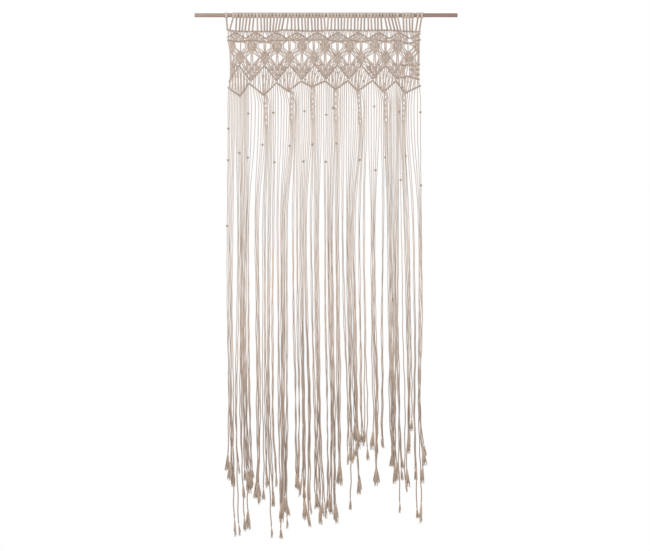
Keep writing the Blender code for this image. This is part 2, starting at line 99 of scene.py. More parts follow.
# Rows of square knots, from the top: how many knots, from one to the next, width of a knot.
DIAMOND = ((1, 0.0, 20 * MM), (2, 16 * MM, 17.5 * MM), (3, 14 * MM, 15 * MM),
           (2, 16 * MM, 17.5 * MM), (1, 0.0, 19 * MM))
UPPER_DIAMOND = ((2, 14 * MM, 15.5 * MM), (3, 13.5 * MM, 14.5 * MM), (3, 13.5 * MM, 14.5 * MM),
                 (2, 16 * MM, 17.5 * MM), (1, 0.0, 19 * MM))
TRIANGLE = ((2, 23 * MM, 23 * MM), (3, 24 * MM, 24.5 * MM), (3, 20 * MM, 20.5 * MM),
            (2, 21 * MM, 22 * MM), (1, 0.0, 27 * MM), (1, 0.0, 17 * MM))
# The half ones at the left and the right edge: x where they begin, how far each row lies
# inwards of the one above it, from one knot to the next, and where the knots of each row are.
HALF_DIAMOND = ((0.5, 1.5), (1.0,), (0.5, 1.5), (1.0,), (0.5,))
HALF_DIAMONDS = ((-.3730, 1.6 * MM, 13.5 * MM, HALF_DIAMOND),
                 (.3560, 0.0, 13.5 * MM, HALF_DIAMOND))
HALF_TRIANGLES = ((-.3655, 0.0, 13.5 * MM, ((0.5, 1.5), (1.0,), (0.5,), (1.0,), (0.5,))),
                  (.3560, 0.0, 21.0 * MM, ((0.5, 1.5), (1.0,), (0.5, 1.5), (1.0,), (0.5, 1.5))))
OUTER = 24.5 * MM                # the outermost cords pass a diamond this far from its middle
ROW_STEP = 9.4 * MM              # from one row of knots to the next
UPPER_TOP = BAR_TOP - 42.4 * MM  # middles of the first row of a diamond of either row
LOWER_TOP = BAR_TOP - 83.4 * MM
TRIANGLE_TOP = BAR_TOP - 129.0 * MM

# The net from left to right: number of cords up to there, x on the bars (and of the middle of
# the diamond), height of the second bar, and the corners of the first and of the second line
# of hitches under the diamonds, as (x, z).  Lower diamonds and upper ones take turns.
NET = (
    (0, -.3745, -.0955, (-.3690, -.2551), (-.3728, -.2757)),
    (8, -.3275, -.1007, (-.3314, -.1904), (-.3268, -.3082)),
    (15, -.2823, -.0954, (-.2858, -.2512), (-.2926, -.2596)),
    (22, -.2325, -.1030, (-.2333, -.1904), (-.2356, -.3052)),
    (29, -.1858, -.0961, (-.1881, -.2500), (-.1889, -.2573)),
    (36, -.1390, -.0954, (-.1391, -.1889), (-.1440, -.2899)),
    (43, -.0920, -.0942, (-.0927, -.2445), (-.0958, -.2519)),
    (50, -.0465, -.0950, (-.0426, -.1873), (-.0536, -.2732)),
    (57, -.0034, -.0927, (-.0015, -.2440), (-.0038, -.2512)),
    (64, .0433, -.1007, (.0429, -.1896), (.0365, -.2831)),
    (71, .0889, -.0954, (.0870, -.2425), (.0821, -.2497)),
    (78, .1330, -.1015, (.1341, -.1904), (.1208, -.2892)),
    (85, .1847, -.0927, (.1771, -.2420), (.1771, -.2489)),
    (92, .2257, -.1015, (.2265, -.1919), (.2189, -.2930)),
    (99, .2713, -.0954, (.2668, -.2425), (.2660, -.2497)),
    (106, .3139, -.1083, (.3070, -.2325), (.2987, -.2975)),
    (114, .3580, -.0942, (.3553, -.2455), (.3591, -.2683)),
)

# The first bar, as (x, z), which steps up where the cords part, and the short level one at the
# right, over the last two triangles.
BAR_1 = (
    (-.3735, -.0570), (-.345, -.0622), (-.300, -.0627), (-.215, -.0627), (-.189, -.0630),
    (-.172, -.0568), (-.130, -.0580), (-.060, -.0618), (.020, -.0578), (.080, -.0585),
    (.145, -.0600), (.220, -.0578), (.262, -.0590), (.300, -.0625), (.358, -.0640),
)
RIGHT_BAR = ((.262, -.1860), (.275, -.1900), (.300, -.1915), (.335, -.1912), (.356, -.1875))
# The zigzag of hitches between the two bars.
ZIGZAG_FIRST_PEAK, ZIGZAG_PERIOD = -0.3454, 0.0780
ZIGZAG_HIGH, ZIGZAG_LOW = BAR_TOP - 6.5 * MM, BAR_TOP - 30.0 * MM
ZIGZAG_PEAKS = [ZIGZAG_FIRST_PEAK + ZIGZAG_PERIOD * i for i in range(10)]
# Rows of square knots under each of its peaks, as in DIAMOND, and how far they are apart.
PEAK_ROWS = ((1, 0.0, 17 * MM), (2, 20 * MM, 20 * MM), (3, 23 * MM, 23 * MM))
PEAK_TOP, PEAK_STEP = BAR_TOP - 16.5 * MM, 7.6 * MM
PEAK_LOW = BAR_TOP - 34.0 * MM   # they all stand above this

# Small knots tied in the cords between the two lines of hitches, as (x, z).
WINDOW_KNOTS = (
    (-.308, -.245), (-.240, -.232), (-.228, -.246), (-.136, -.222), (-.154, -.248),
    (-.047, -.225), (-.034, -.237), (.047, -.219), (.052, -.240), (.029, -.248),
    (.129, -.233), (.137, -.251), (.230, -.232), (.214, -.240), (.297, -.240),
    (.310, -.255), (-.338, -.235), (-.349, -.262), (-.228, -.200), (-.235, -.266),
    (-.141, -.277), (-.035, -.193), (-.029, -.204), (-.024, -.214), (-.055, -.238),
    (-.076, -.246), (-.070, -.256), (.116, -.252), (.123, -.270), (.233, -.197),
    (.239, -.207), (.245, -.217), (.225, -.263), (.208, -.273), (.292, -.275),
    (.288, -.263), (.253, -.239),
)
CHAIN_STEP = 20.5 * MM           # from one square knot of a chain to the next
CHAIN_SIZE = 1.12                # a chain's knots beside those of the net
CHAIN_TONE = -0.2
EYE_PATHS = (4.2, 6.9)           # the cords between two knots of a chain, in millimetres
# The outer strings spread under line B: number of the string, and how far.
EDGES_OUT = ((0, -2.5 * MM), (9, 0.0), (104, 0.0), (113, 3.0 * MM))
CHAINS = (                       # x of each chain at its top and at its foot
    (-.2295, -.2270), (-.1305, -.1300), (-.0505, -.0490), (.0372, .0380), (.1245, .1310),
    (.2265, .2287), (.2968, .2950),
)

# How much a cord hangs free, by its depth under the rod's axis, and how much fuller and finer
# than elsewhere the cords are on the rod and under it.
HANGING = ((0.002, 0.0), (0.012, 1.0))
HEAD_FULLER, HANGING_FINER = 0.4 * MM, 0.25 * MM

# Loops on the rod stand in groups: how many, and where the first and the last one are.
LOOP_GROUPS = (
    (1, -0.3790, -0.3790),
    (16, -0.3520, -0.1580),
    (12, -0.1430, -0.0070),
    (22, 0.0090, 0.2720),
    (4, 0.2930, 0.3290),
    (2, 0.3500, 0.3640),
)

# How far the cords of a loop lean sideways on their way down to the first bar: x on the rod,
# and the distance.
LEANS = (
    (-.379, .004), (-.351, -.015), (-.344, -.008), (-.337, -.001), (-.321, -.005),
    (-.305, -.008), (-.293, -.007), (-.270, -.005), (-.260, .002), (-.245, .003), (-.231, 0.0),
    (-.203, -.003), (-.185, -.010), (-.160, -.011), (-.140, -.005), (-.129, .001), (-.108, .002),
    (-.084, .004), (-.068, 0.0), (-.058, .004), (-.031, .001), (-.009, .005), (.010, -.004),
    (.034, -.001), (.047, .001), (.075, -.003), (.115, -.001), (.129, -.004), (.151, 0.0),
    (.178, .003), (.206, 0.0), (.216, .008), (.228, .013), (.269, .014), (.295, .001),
    (.319, .002), (.348, -.009), (.364, -.010),
)

# Locks that the strings gather into, left to right: strings, middle of the lock at the three
# heights of LOCK_HEIGHTS, distance from string to string at the lowest of them, and then the
# tip of each string as (x, z).
LOCK_HEIGHTS = (-0.720, -1.120, -1.558)
LOCK_LOOSE = (0.35, 0.15, 0.0)   # how much looser a lock is there, as a share
LOCKS = (
    (5, -.364, -.366, -.361, .0045,
     ((-.371, -1.739), (-.362, -1.770), (-.359, -1.798), (-.349, -1.790), (-.351, -1.984))),
    (2, -.334, -.336, -.341, .0036, ((-.332, -1.746), (-.335, -1.982))),
    (2, -.324, -.325, -.323, .0036, ((-.319, -1.837), (-.312, -1.963))),
    (6, -.311, -.313, -.306, .0031,
     ((-.313, -1.775), (-.305, -1.800), (-.299, -1.825), (-.296, -1.963), (-.292, -1.808),
      (-.288, -1.790))),
    (2, -.294, -.294, -.290, .0032, ((-.286, -1.800), (-.282, -1.765))),
    (4, -.262, -.260, -.257, .0038,
     ((-.262, -1.846), (-.258, -1.862), (-.260, -1.835), (-.254, -1.855))),
    (1, -.239, -.241, -.240, .0038, ((-.237, -1.847),)),
    (2, -.232, -.232, -.229, .0036, ((-.229, -1.800), (-.225, -1.792))),
    (3, -.215, -.219, -.216, .0036, ((-.211, -1.990), (-.204, -1.874), (-.201, -1.862))),
    (2, -.200, -.203, -.200, .0036, ((-.192, -1.788), (-.189, -1.796))),
    (2, -.184, -.181, -.178, .0036, ((-.173, -1.995), (-.175, -1.904))),
    (5, -.163, -.164, -.164, .0030,
     ((-.170, -1.933), (-.166, -1.904), (-.160, -1.912), (-.158, -1.898), (-.154, -1.893))),
    (2, -.147, -.149, -.149, .0036, ((-.151, -1.954), (-.150, -1.905))),
    (2, -.125, -.123, -.114, .0034, ((-.113, -1.796), (-.110, -1.802))),
    (2, -.110, -.108, -.102, .0034, ((-.105, -1.808), (-.101, -1.790))),
    (4, -.093, -.092, -.085, .0034,
     ((-.090, -1.832), (-.086, -1.842), (-.088, -1.915), (-.082, -1.924))),
    (3, -.078, -.074, -.063, .0034, ((-.068, -1.948), (-.066, -1.932), (-.063, -1.900))),
    (2, -.057, -.053, -.042, .0036, ((-.041, -1.866), (-.038, -1.880))),
    (5, -.036, -.034, -.027, .0034,
     ((-.037, -1.878), (-.025, -1.939), (-.020, -1.925), (-.011, -1.910), (-.004, -1.918))),
    (2, -.004, -.002, .005, .0026, ((.007, -1.881), (.010, -1.888))),
    (6, .015, .019, .026, .0031,
     ((.013, -1.892), (.018, -1.902), (.022, -1.880), (.029, -1.925), (.036, -1.936),
      (.034, -1.915))),
    (4, .042, .045, .049, .0032,
     ((.049, -1.792), (.052, -1.786), (.055, -1.778), (.051, -1.760))),
    (2, .062, .069, .084, .0034, ((.083, -1.712), (.086, -1.700))),
    (3, .082, .085, .096, .0034, ((.094, -1.883), (.096, -1.706), (.103, -1.693))),
    (6, .101, .103, .116, .0036,
     ((.106, -1.626), (.112, -1.682), (.119, -1.641), (.121, -1.827), (.124, -1.808),
      (.119, -1.655))),
    (2, .127, .129, .136, .0036, ((.134, -1.629), (.138, -1.642))),
    (2, .144, .147, .155, .0036, ((.148, -1.623), (.157, -1.697))),
    (5, .179, .180, .191, .0034,
     ((.180, -1.658), (.187, -1.786), (.188, -1.794), (.194, -1.673), (.192, -1.780))),
    (2, .217, .213, .212, .0036, ((.212, -1.648), (.215, -1.638))),
    (3, .236, .241, .241, .0034, ((.247, -1.617), (.251, -1.628), (.252, -1.714))),
    (6, .251, .255, .257, .0031,
     ((.250, -1.722), (.254, -1.777), (.257, -1.702), (.260, -1.764), (.261, -1.785),
      (.266, -1.772))),
    (3, .271, .270, .279, .0032, ((.279, -1.895), (.283, -1.771), (.287, -1.729))),
    (1, .285, .291, .300, .0036, ((.301, -1.815),)),
    (5, .303, .313, .317, .0036,
     ((.304, -1.800), (.311, -1.661), (.314, -1.672), (.319, -1.650), (.326, -1.585))),
    (2, .328, .337, .337, .0036, ((.336, -1.771), (.344, -1.917))),
    (4, .355, .359, .358, .0036,
     ((.361, -1.933), (.367, -1.786), (.367, -1.718), (.371, -1.678))),
)

# Single knots tied in strings: where each one is, as (x, z).
STRING_KNOTS = (
    (-.372, -.432), (-.375, -.552), (-.331, -.525), (-.293, -.542), (-.293, -.375),
    (-.239, -.493), (-.198, -.372), (-.193, -.560), (-.138, -.497), (-.084, -.366),
    (-.089, -.557), (-.054, -.492), (-.001, -.558), (.000, -.380), (.030, -.354),
    (.041, -.488), (.129, -.551), (.177, -.348), (.184, -.590), (.223, -.541),
    (.277, -.368), (.306, -.537), (.283, -.628), (.360, -.370), (.367, -.648),
    (-.377, -.802),
)

# How a string changes on its way down, as (depth, share): fuller and duller under line B, fuller
# and darker further down, and fuller again where it begins to unlay.
STRING_HIGH = ((0.30, 1.0), (0.55, 0.0))
STRING_LOW = ((0.75, 0.0), (1.50, 1.0))
STRING_UNLAID = ((1.50, 0.0), (1.75, 1.0))
STRING_STEP = 22 * MM            # between two points of a string's path
STRING_DEPTHS = (0.0, -1.5, 1.5)  # neighbours hang before and behind each other, in millimetres
# Kinks of a string: along x (0) or y (1), shortest and longest wave, and swing in millimetres.
STRING_WAVES = ((0, 0.3, 0.9, 1.2), (1, 0.3, 0.9, 1.2), (0, 0.09, 0.16, 0.9))

FLOOR = ((-4, -4), (4, -4), (4, 2.1), (-4, 2.1))    # its corners
LIT = Vector((0, 0, -0.9))       # where both lamps point


# ---- settings -----------------------------------------------------------------------------
def linear(code):
    """A colour from its sRGB hex value."""
    parts = [int(code[i:i + 2], 16) / 255 for i in (1, 3, 5)]
    return tuple(c / 12.92 if c <= 0.04045 else ((c + 0.055) / 1.055) ** 2.4
                 for c in parts) + (1.0,)


def colour(name, description, code):
    return FloatVectorProperty(name=name, description=description, subtype="COLOR", size=4,
                               min=0.0, max=1.0, default=linear(code))


def metres(name, description, default):
    return FloatProperty(name=name, description=description, default=default, unit="LENGTH")


def strength(name, description, default):
    return FloatProperty(name=name, description=description, default=default)


class CordSettings(bpy.types.PropertyGroup):
    diameter: metres("Cord", "Diameter of one cotton cord", 0.003)
    lay: metres("Lay", "Length in which a strand of the cord goes round once", 0.010)
    crown: colour("Cotton", "Natural cotton on the crowns of the strands", "#CFC1B6")
    # The groove colour is painted shade: cotton darkened where shade falls between the strands.
    groove_shade: colour("Groove", "Cotton in the grooves between the strands", "#99887C")
    cool: colour("Greyer cotton", "Tone of the greyer lengths of cord", "#B9B3AC")
    # Partly painted shade: the knots, the hitches and the cords hanging under the rod are darkened
    # towards this colour; the net's cords and the strings' lower ends are darker too.
    shade_and_dark_ends: colour("Darker cotton", "Tone of the knots and of the strings' lower ends",
                 "#9D897B")
    seed: IntProperty(name="Seed", description="Seed of the cords' unevenness", default=7)


class FraySettings(bpy.types.PropertyGroup):
    length: metres("Frayed length", "Length of the unlaid end of a string", 0.052)
    root: colour("Fray", "Frayed cotton where it leaves the cord", "#B8A496")
    tip: colour("Fray tips", "Frayed cotton at its tips", "#B3A08F")


class RodSettings(bpy.types.PropertyGroup):
    chamfer: metres("Chamfer", "Broken edge at the rod's ends", 0.0012)
    light_wood: colour("Beech", "Early wood of the oiled beech rod", "#8D786A")
    dark_wood: colour("Beech grain", "Late wood and flecks of the rod", "#795B4F")


class StageSettings(bpy.types.PropertyGroup):
    distance: metres("Camera distance", "From the camera to the cloth", 9.0)
    view_width: metres("View width", "Width that the view takes in at the cloth", 2.47)
    view_x: metres("View middle", "Middle of the view, sideways", -0.004)
    view_z: metres("View height", "Middle of the view, upwards", -0.990)
    floor_z: metres("Floor", "Height of the floor", -2.30)
    sky: strength("Sky light", "Strength of the light from all round", 0.62)
    key: strength("Key light", "Power of the key light, in watts", 160.0)
    fill: strength("Fill light", "Power of the fill light, in watts", 60.0)


SETTINGS = {
    "macrame_cord": CordSettings,
    "macrame_fray": FraySettings,
    "macrame_rod": RodSettings,
    "macrame_stage": StageSettings,
}


# ---- nodes and materials ------------------------------------------------------------------
def add_node(tree, kind, inputs=None, **settings):
    """Adds a node with its settings; an input is a value, another node's output, or another
    node, which stands for its first output."""
    made = tree.nodes.new(kind)
    for name, value in settings.items():
        setattr(made, name, value)
    for key, value in (inputs or {}).items():
        if isinstance(value, bpy.types.Node):
            value = value.outputs[0]
        if isinstance(value, bpy.types.NodeSocket):
            tree.links.new(value, made.inputs[key])
        else:
            made.inputs[key].default_value = value
    return made


# Each of the next three makes the nodes of one material, and gives its colour, the height for
# its bump, and the bump's strength and distance.
STRANDS = 3                      # of a cord


def cotton_cord(tree, settings):
    """Soft-laid 3-strand cotton: matt, with slanting grooves between its strands, and painted
    shade in the grooves.
    """
    uv = add_node(tree, "ShaderNodeUVMap", uv_map="cord")
    along = add_node(tree, "ShaderNodeSeparateXYZ", {0: uv})
    turns = add_node(tree, "ShaderNodeMath", {
        0: along, 1: 1 / settings.lay, 2: along.outputs[1]}, operation="MULTIPLY_ADD")
    angle = add_node(tree, "ShaderNodeMath", {
        0: turns, 1: 2 * math.pi * STRANDS}, operation="MULTIPLY")
    wave = add_node(tree, "ShaderNodeMath", {0: angle}, operation="SINE")
    crown = add_node(tree, "ShaderNodeMapRange", {
        "Value": wave, "From Min": -1.0, "From Max": 0.6}, interpolation_type="SMOOTHSTEP")
    place = add_node(tree, "ShaderNodeTexCoord").outputs["Object"]
    fibre = add_node(tree, "ShaderNodeTexNoise", {      # yarn fibres, 1.2 mm
        "Vector": place, "Scale": 1 / (1.2 * MM), "Detail": 2.0})
    patch = add_node(tree, "ShaderNodeTexNoise", {      # cotton dyes unevenly over 60 mm
        "Vector": place, "Scale": 1 / (60 * MM), "Detail": 3.0, "Roughness": 0.6})
    tone = add_node(tree, "ShaderNodeAttribute", attribute_name="tone").outputs["Fac"]
    mottle = add_node(tree, "ShaderNodeMath", {0: patch, 1: tone}, operation="ADD")
    cool = add_node(tree, "ShaderNodeMapRange", {
        "Value": mottle, "From Min": 0.75, "From Max": 1.35, "To Max": 0.8})
    clean = add_node(tree, "ShaderNodeMix", {
        "Factor": cool, 6: settings.crown, 7: settings.cool}, data_type="RGBA")
    # A negative tone darkens the cotton towards that colour: painted shade on the knots, the
    # hitches and the hanging loops, and darker net cords and lower ends of strings.
    shade_and_dark_ends_share = add_node(tree, "ShaderNodeMapRange", {
        "Value": tone, "From Min": 0.0, "From Max": -1.0}, clamp=False)
    body = add_node(tree, "ShaderNodeMix", {
        "Factor": shade_and_dark_ends_share, 6: clean.outputs[2], 7: settings.shade_and_dark_ends}, data_type="RGBA")
    # Painted shade in the grooves, where the strands dip between their crowns.
    shade = add_node(tree, "ShaderNodeMix", {
        "Factor": crown, 6: settings.groove_shade, 7: body.outputs[2]}, data_type="RGBA")
    fleck = add_node(tree, "ShaderNodeMapRange", {
        "Value": fibre, "To Min": 0.86, "To Max": 1.10})
    final = add_node(tree, "ShaderNodeMix", {
        "Factor": 1.0, 6: shade.outputs[2], 7: fleck}, data_type="RGBA", blend_type="MULTIPLY")
    height = add_node(tree, "ShaderNodeMath", {
        0: fibre, 1: 0.35, 2: crown}, operation="MULTIPLY_ADD")
    return final.outputs[2], height, 0.8, 0.35 * MM


def frayed_cotton(tree, settings):
    """Unlaid cotton yarn: softer and duller than the cord, and darker towards its tips."""
    uv = add_node(tree, "ShaderNodeUVMap", uv_map="cord")
    along = add_node(tree, "ShaderNodeSeparateXYZ", {0: uv})
    place = add_node(tree, "ShaderNodeTexCoord").outputs["Object"]
    fibre = add_node(tree, "ShaderNodeTexNoise", {      # crimped yarn, 2 mm
        "Vector": place, "Scale": 1 / (2 * MM), "Detail": 3.0})
    reach = add_node(tree, "ShaderNodeMapRange", {"Value": along, "From Max": settings.length})
    yarn = add_node(tree, "ShaderNodeMix", {
        "Factor": reach, 6: settings.root, 7: settings.tip}, data_type="RGBA")
    fleck = add_node(tree, "ShaderNodeMapRange", {
        "Value": fibre, "To Min": 0.8, "To Max": 1.15})
    final = add_node(tree, "ShaderNodeMix", {
        "Factor": 1.0, 6: yarn.outputs[2], 7: fleck}, data_type="RGBA", blend_type="MULTIPLY")
    return final.outputs[2], fibre, 0.6, 0.3 * MM


def oiled_beech(tree, settings):
    """Turned beech with one coat of oil: pinkish brown, fine grain along the rod, small flecks."""
    place = add_node(tree, "ShaderNodeTexCoord").outputs["Object"]
    stretch = add_node(tree, "ShaderNodeMapping", {     # grain runs 60 times as long as wide
        "Vector": place, "Scale": (6.0, 380.0, 380.0)})
    grain = add_node(tree, "ShaderNodeTexNoise", {      # growth rings about 2.6 mm apart
        "Vector": stretch, "Scale": 1.0, "Detail": 5.0, "Distortion": 0.4})
    flecks = add_node(tree, "ShaderNodeMapping", {      # rays, 0.4 mm by 3 mm
        "Vector": place, "Scale": (330.0, 2500.0, 2500.0)})
    ray = add_node(tree, "ShaderNodeTexNoise", {"Vector": flecks, "Scale": 1.0})
    ends = add_node(tree, "ShaderNodeSeparateXYZ", {0: place})
    heart = add_node(tree, "ShaderNodeMath", {          # heartwood towards the right end
        0: ends, 1: 0.27, 2: grain}, operation="MULTIPLY_ADD")
    dark = add_node(tree, "ShaderNodeMapRange", {
        "Value": heart, "From Min": 0.33, "From Max": 0.74})
    spot = add_node(tree, "ShaderNodeMapRange", {
        "Value": ray, "From Min": 0.58, "From Max": 0.72, "To Max": 0.5})
    wood = add_node(tree, "ShaderNodeMix", {
        "Factor": dark, 6: settings.light_wood, 7: settings.dark_wood}, data_type="RGBA")
    final = add_node(tree, "ShaderNodeMix", {
        "Factor": spot, 6: wood.outputs[2], 7: settings.dark_wood}, data_type="RGBA")
    return final.outputs[2], grain, 0.3, 0.1 * MM


# How each material is made, from which settings, and values of its shader.
MATERIALS = {
    "laid_cotton_cord": (cotton_cord, "macrame_cord", {
        "Roughness": 0.94, "Specular IOR Level": 0.2, "Sheen Weight": 0.25,
        "Sheen Roughness": 0.5}),
    "frayed_cotton_yarn": (frayed_cotton, "macrame_fray", {
        "Roughness": 0.97, "Specular IOR Level": 0.15, "Sheen Weight": 0.3}),
    "oiled_beech": (oiled_beech, "macrame_rod", {"Roughness": 0.55}),
}


def new_material(name, values):
    """A material with values of its Principled BSDF, and that shader."""
    made = bpy.data.materials.new(name)
    made.use_nodes = True
    shader = made.node_tree.nodes["Principled BSDF"]
    for key, value in values.items():
        shader.inputs[key].default_value = value
    return made, shader


def material(name):
    """One of the materials, made when it is first asked for."""
    if name in bpy.data.materials:
        return bpy.data.materials[name]
    maker, group, values = MATERIALS[name]
    made, shader = new_material(name, values)
    tree = made.node_tree
    paint, height, amount, depth = maker(tree, getattr(bpy.context.scene, group))
    bump = add_node(tree, "ShaderNodeBump", {
        "Height": height, "Strength": amount, "Distance": depth})
    tree.links.new(paint, shader.inputs["Base Color"])
    tree.links.new(bump.outputs[0], shader.inputs["Normal"])
    return made


# ---- tubes of cord ------------------------------------------------------------------------
def unit(vectors):
    return vectors / np.linalg.norm(vectors, axis=-1, keepdims=True)


def new_object(name, data):
    """An object in the scene."""
    made = bpy.data.objects.new(name, data)
    bpy.context.collection.objects.link(made)
    return made


class Yarn:
    """Tubes gathered into one mesh.  UV map "cord": metres along a tube, and once around it."""

    def __init__(self, sides=6):
        self.sides = sides
        self.points, self.faces, self.uvs, self.tones = [], [], [], []
        self.count = 0

    def lay(self, path, radius, closed=False, tone=0.5):
        """Adds a tube along a path of points; radius and tone may differ from point to point."""
        path = np.asarray(path, float)
        sides, rings = self.sides, len(path)
        ahead = np.roll(path, -1, 0) - path
        if closed:
            tangents = unit(ahead + np.roll(ahead, 1, 0))
        else:
            steps = ahead[:-1]
            tangents = unit(np.vstack([steps[:1], steps[1:] + steps[:-1], steps[-1:]]))
        side = np.cross(tangents[0], (0.0, 1.0, 0.0))
        if np.linalg.norm(side) < 0.1:
            side = np.cross(tangents[0], (1.0, 0.0, 0.0))
        turn = np.arange(sides) * 2 * math.pi / sides
        for tangent, centre, size in zip(tangents, path, np.broadcast_to(radius, rings)):
            side = unit(side - tangent * np.dot(side, tangent))
            other = np.cross(tangent, side)
            self.points.append(centre + size * (np.outer(np.cos(turn), side)
                                                + np.outer(np.sin(turn), other)))
        run = np.concatenate([[0.0], np.cumsum(np.linalg.norm(ahead, axis=1))])
        for ring in range(rings if closed else rings - 1):
            here, there = self.count + ring * sides, self.count + (ring + 1) % rings * sides
            for j in range(sides):
                k = (j + 1) % sides
                self.faces.append((here + j, here + k, there + k, there + j))
                low, high = j / sides, (j + 1) / sides
                self.uvs += [(run[ring], low), (run[ring], high),
                             (run[ring + 1], high), (run[ring + 1], low)]
        if not closed:
            last = self.count + (rings - 1) * sides
            self.faces.append(tuple(range(self.count + sides - 1, self.count - 1, -1)))
            self.faces.append(tuple(range(last, last + sides)))
            self.uvs += [(0.0, 0.5)] * sides + [(run[rings - 1], 0.5)] * sides
        self.tones += np.repeat(np.broadcast_to(tone, rings), sides).tolist()
        self.count += rings * sides

    def mesh(self, name):
        made = bpy.data.meshes.new(name)
        made.from_pydata(np.vstack(self.points), [], self.faces)
        uv = made.uv_layers.new(name="cord")
        uv.data.foreach_set("uv", np.asarray(self.uvs, np.float32).ravel())
        tone = made.attributes.new("tone", "FLOAT", "POINT")
        tone.data.foreach_set("value", np.asarray(self.tones, np.float32))
        made.shade_smooth()
        made.validate()
        return made

    def piece(self, name, finish="laid_cotton_cord"):
        """The tubes as an object in the scene."""
        mesh = self.mesh(name)
        mesh.materials.append(material(finish))
        return new_object(name, mesh)


def between(t, start, leaving, end, arriving):
    """Points at shares t of a cubic curve, from how it leaves its start and reaches its end."""
    return ((2 * t ** 3 - 3 * t ** 2 + 1) * start + (t ** 3 - 2 * t ** 2 + t) * leaving
            + (3 * t ** 2 - 2 * t ** 3) * end + (t ** 3 - t ** 2) * arriving)


def bend(start, end, steps, pull=0.1):
    """Points of a cord that leaves one place downwards and comes into the next from above."""
    start, end = np.asarray(start, float), np.asarray(end, float)
    down = np.array((0.0, 0.0, -1.0)) * abs(end[2] - start[2]) * pull * 3
    return between(np.linspace(0, 1, steps + 1)[:, None], start, down, end, down)


def through(stations, heights):
    """x at each height on a smooth curve through stations of (x, z), from the top down."""
    xs, zs = np.array(stations, float).T
    slopes = np.gradient(xs, -zs)
    slopes[0] *= 0.3
    i = np.clip(np.searchsorted(-zs, -heights) - 1, 0, len(xs) - 2)
    span = zs[i] - zs[i + 1]
    return between((zs[i] - heights) / span, xs[i], span * slopes[i], xs[i + 1],
                   span * slopes[i + 1])


def interpolated(x, table):
    """Value at x in a table of (x, value)."""
    return np.interp(x, *zip(*table))


# ---- the shapes of the knots --------------------------------------------------------------
KNOT_CORD = 1.5 * MM             # radius of the cord in a hitch or a square knot
WRAP_DEPTH, WRAP_HEIGHT = 2.3 * MM, 2.25 * MM
# The hitches' wraps take dark tones: painted shade among the wraps.
WRAP_TONES = (-1.9, -1.4, -0.9, -0.3)           # of the wraps of a line of hitches
KNOT_TONES = (-0.60, -0.30, 0.05, 0.40, 0.70)   # of square knots, duller to lighter

# Path of the cord that crosses in front of a square knot, from its top to its middle, and of
# the one that crosses behind, in millimetres; the lower halves mirror them.
CROSSING = ((-5.0, 0.6, 4.4), (-4.9, -0.3, 3.2), (-2.4, -2.5, 2.55), (1.4, -2.9, 2.0),
            (4.5, -1.9, 1.4), (5.9, -0.3, 0.0))
UNDERNEATH = ((5.0, 0.6, 4.4), (5.4, -1.1, 3.3), (3.4, 1.5, 2.3), (-0.4, 2.5, 1.9),
              (-4.0, 1.5, 1.6), (-6.0, -0.8, 1.3), (-6.2, -1.7, 0.0))
SINGLE_CORD, SINGLE_SIZE = 1.4 * MM, 1.05 * MM  # a single knot's cord, and its scale
FRAY_YARNS, FRAY_STEPS = 16, 5
FRAY_SPREADS = (4.2, 5.6, 7.0, 4.8, 6.2)        # kinds of frayed ends, in millimetres


def once_round(points):
    return np.linspace(0, 2 * math.pi, points, endpoint=False)


def hitch_wrap(tone):
    """One turn of a cord around the cord that carries it, which runs along X."""
    yarn, turn = Yarn(), once_round(9)
    path = np.column_stack([0 * turn, -WRAP_DEPTH * np.cos(turn), WRAP_HEIGHT * np.sin(turn)])
    yarn.lay(path, KNOT_CORD, closed=True, tone=tone)
    return yarn


def square_knot(tone):
    """A square knot's two working cords; its filler cords run on through it."""
    yarn = Yarn(sides=5)
    for half in (CROSSING, UNDERNEATH):
        upper = np.array(half)
        lower = upper[-2::-1] * (1, 1, -1)
        yarn.lay(np.vstack([upper, lower]) * MM, KNOT_CORD, tone=tone)
    return yarn


def single_knot():
    """A small overhand knot: the cord's trefoil, drawn tight."""
    yarn, t = Yarn(), once_round(22)
    path = np.column_stack([np.sin(t) + 2 * np.sin(2 * t), 1.3 * np.sin(3 * t),
                            np.cos(t) - 2 * np.cos(2 * t)])
    yarn.lay(path * SINGLE_SIZE, SINGLE_CORD, closed=True, tone=-1.2)
    return yarn


def fray(kind, length):
    """The unlaid end of a string, hanging from the origin: a brush of crimped yarns."""
    rng = np.random.default_rng(40 + kind)
    yarn = Yarn(sides=3)
    t = np.linspace(0, 1, FRAY_STEPS + 1)
    swell = np.interp(t, (0, 0.12, 0.45, 0.8, 1), (0, 0.2, 0.62, 0.95, 1.0))
    radii = np.interp(t, (0, 0.3, 0.8, 1), (0.8, 1.0, 0.9, 0.6)) * MM
    for number in range(FRAY_YARNS):
        angle = 2 * math.pi * (number + rng.uniform(-0.4, 0.4)) / FRAY_YARNS * 2.4
        out = swell * FRAY_SPREADS[kind] * MM * math.sqrt((number + 0.5) / FRAY_YARNS)
        reach = length * rng.uniform(0.66, 1.0)
        crimp = rng.normal(0, 0.35 * MM, (len(t), 2)) * t[:, None]
        yarn.lay(np.column_stack([
            math.cos(angle) * out + crimp[:, 0], math.sin(angle) * out * 0.6 + crimp[:, 1],
            3 * MM - t * (reach + 3 * MM)]), radii)
    return yarn


# ---- Geometry Nodes -----------------------------------------------------------------------
def new_tree(name, **amounts):
    """An empty geometry tree with its named inputs; amounts are their usual values."""
    tree = bpy.data.node_groups.new(name, "GeometryNodeTree")
    tree.interface.new_socket("Geometry", in_out="OUTPUT", socket_type="NodeSocketGeometry")
    inputs = {"Geometry": "Geometry", "Shapes": "Collection", **dict.fromkeys(amounts, "Float"),
              "Seed": "Int", "Finish": "Material"}
    for label, kind in inputs.items():
        socket = tree.interface.new_socket(label, in_out="INPUT",
                                           socket_type="NodeSocket" + kind)
        if label in amounts:
            socket.default_value = amounts[label]
    return tree, add_node(tree, "NodeGroupInput").outputs


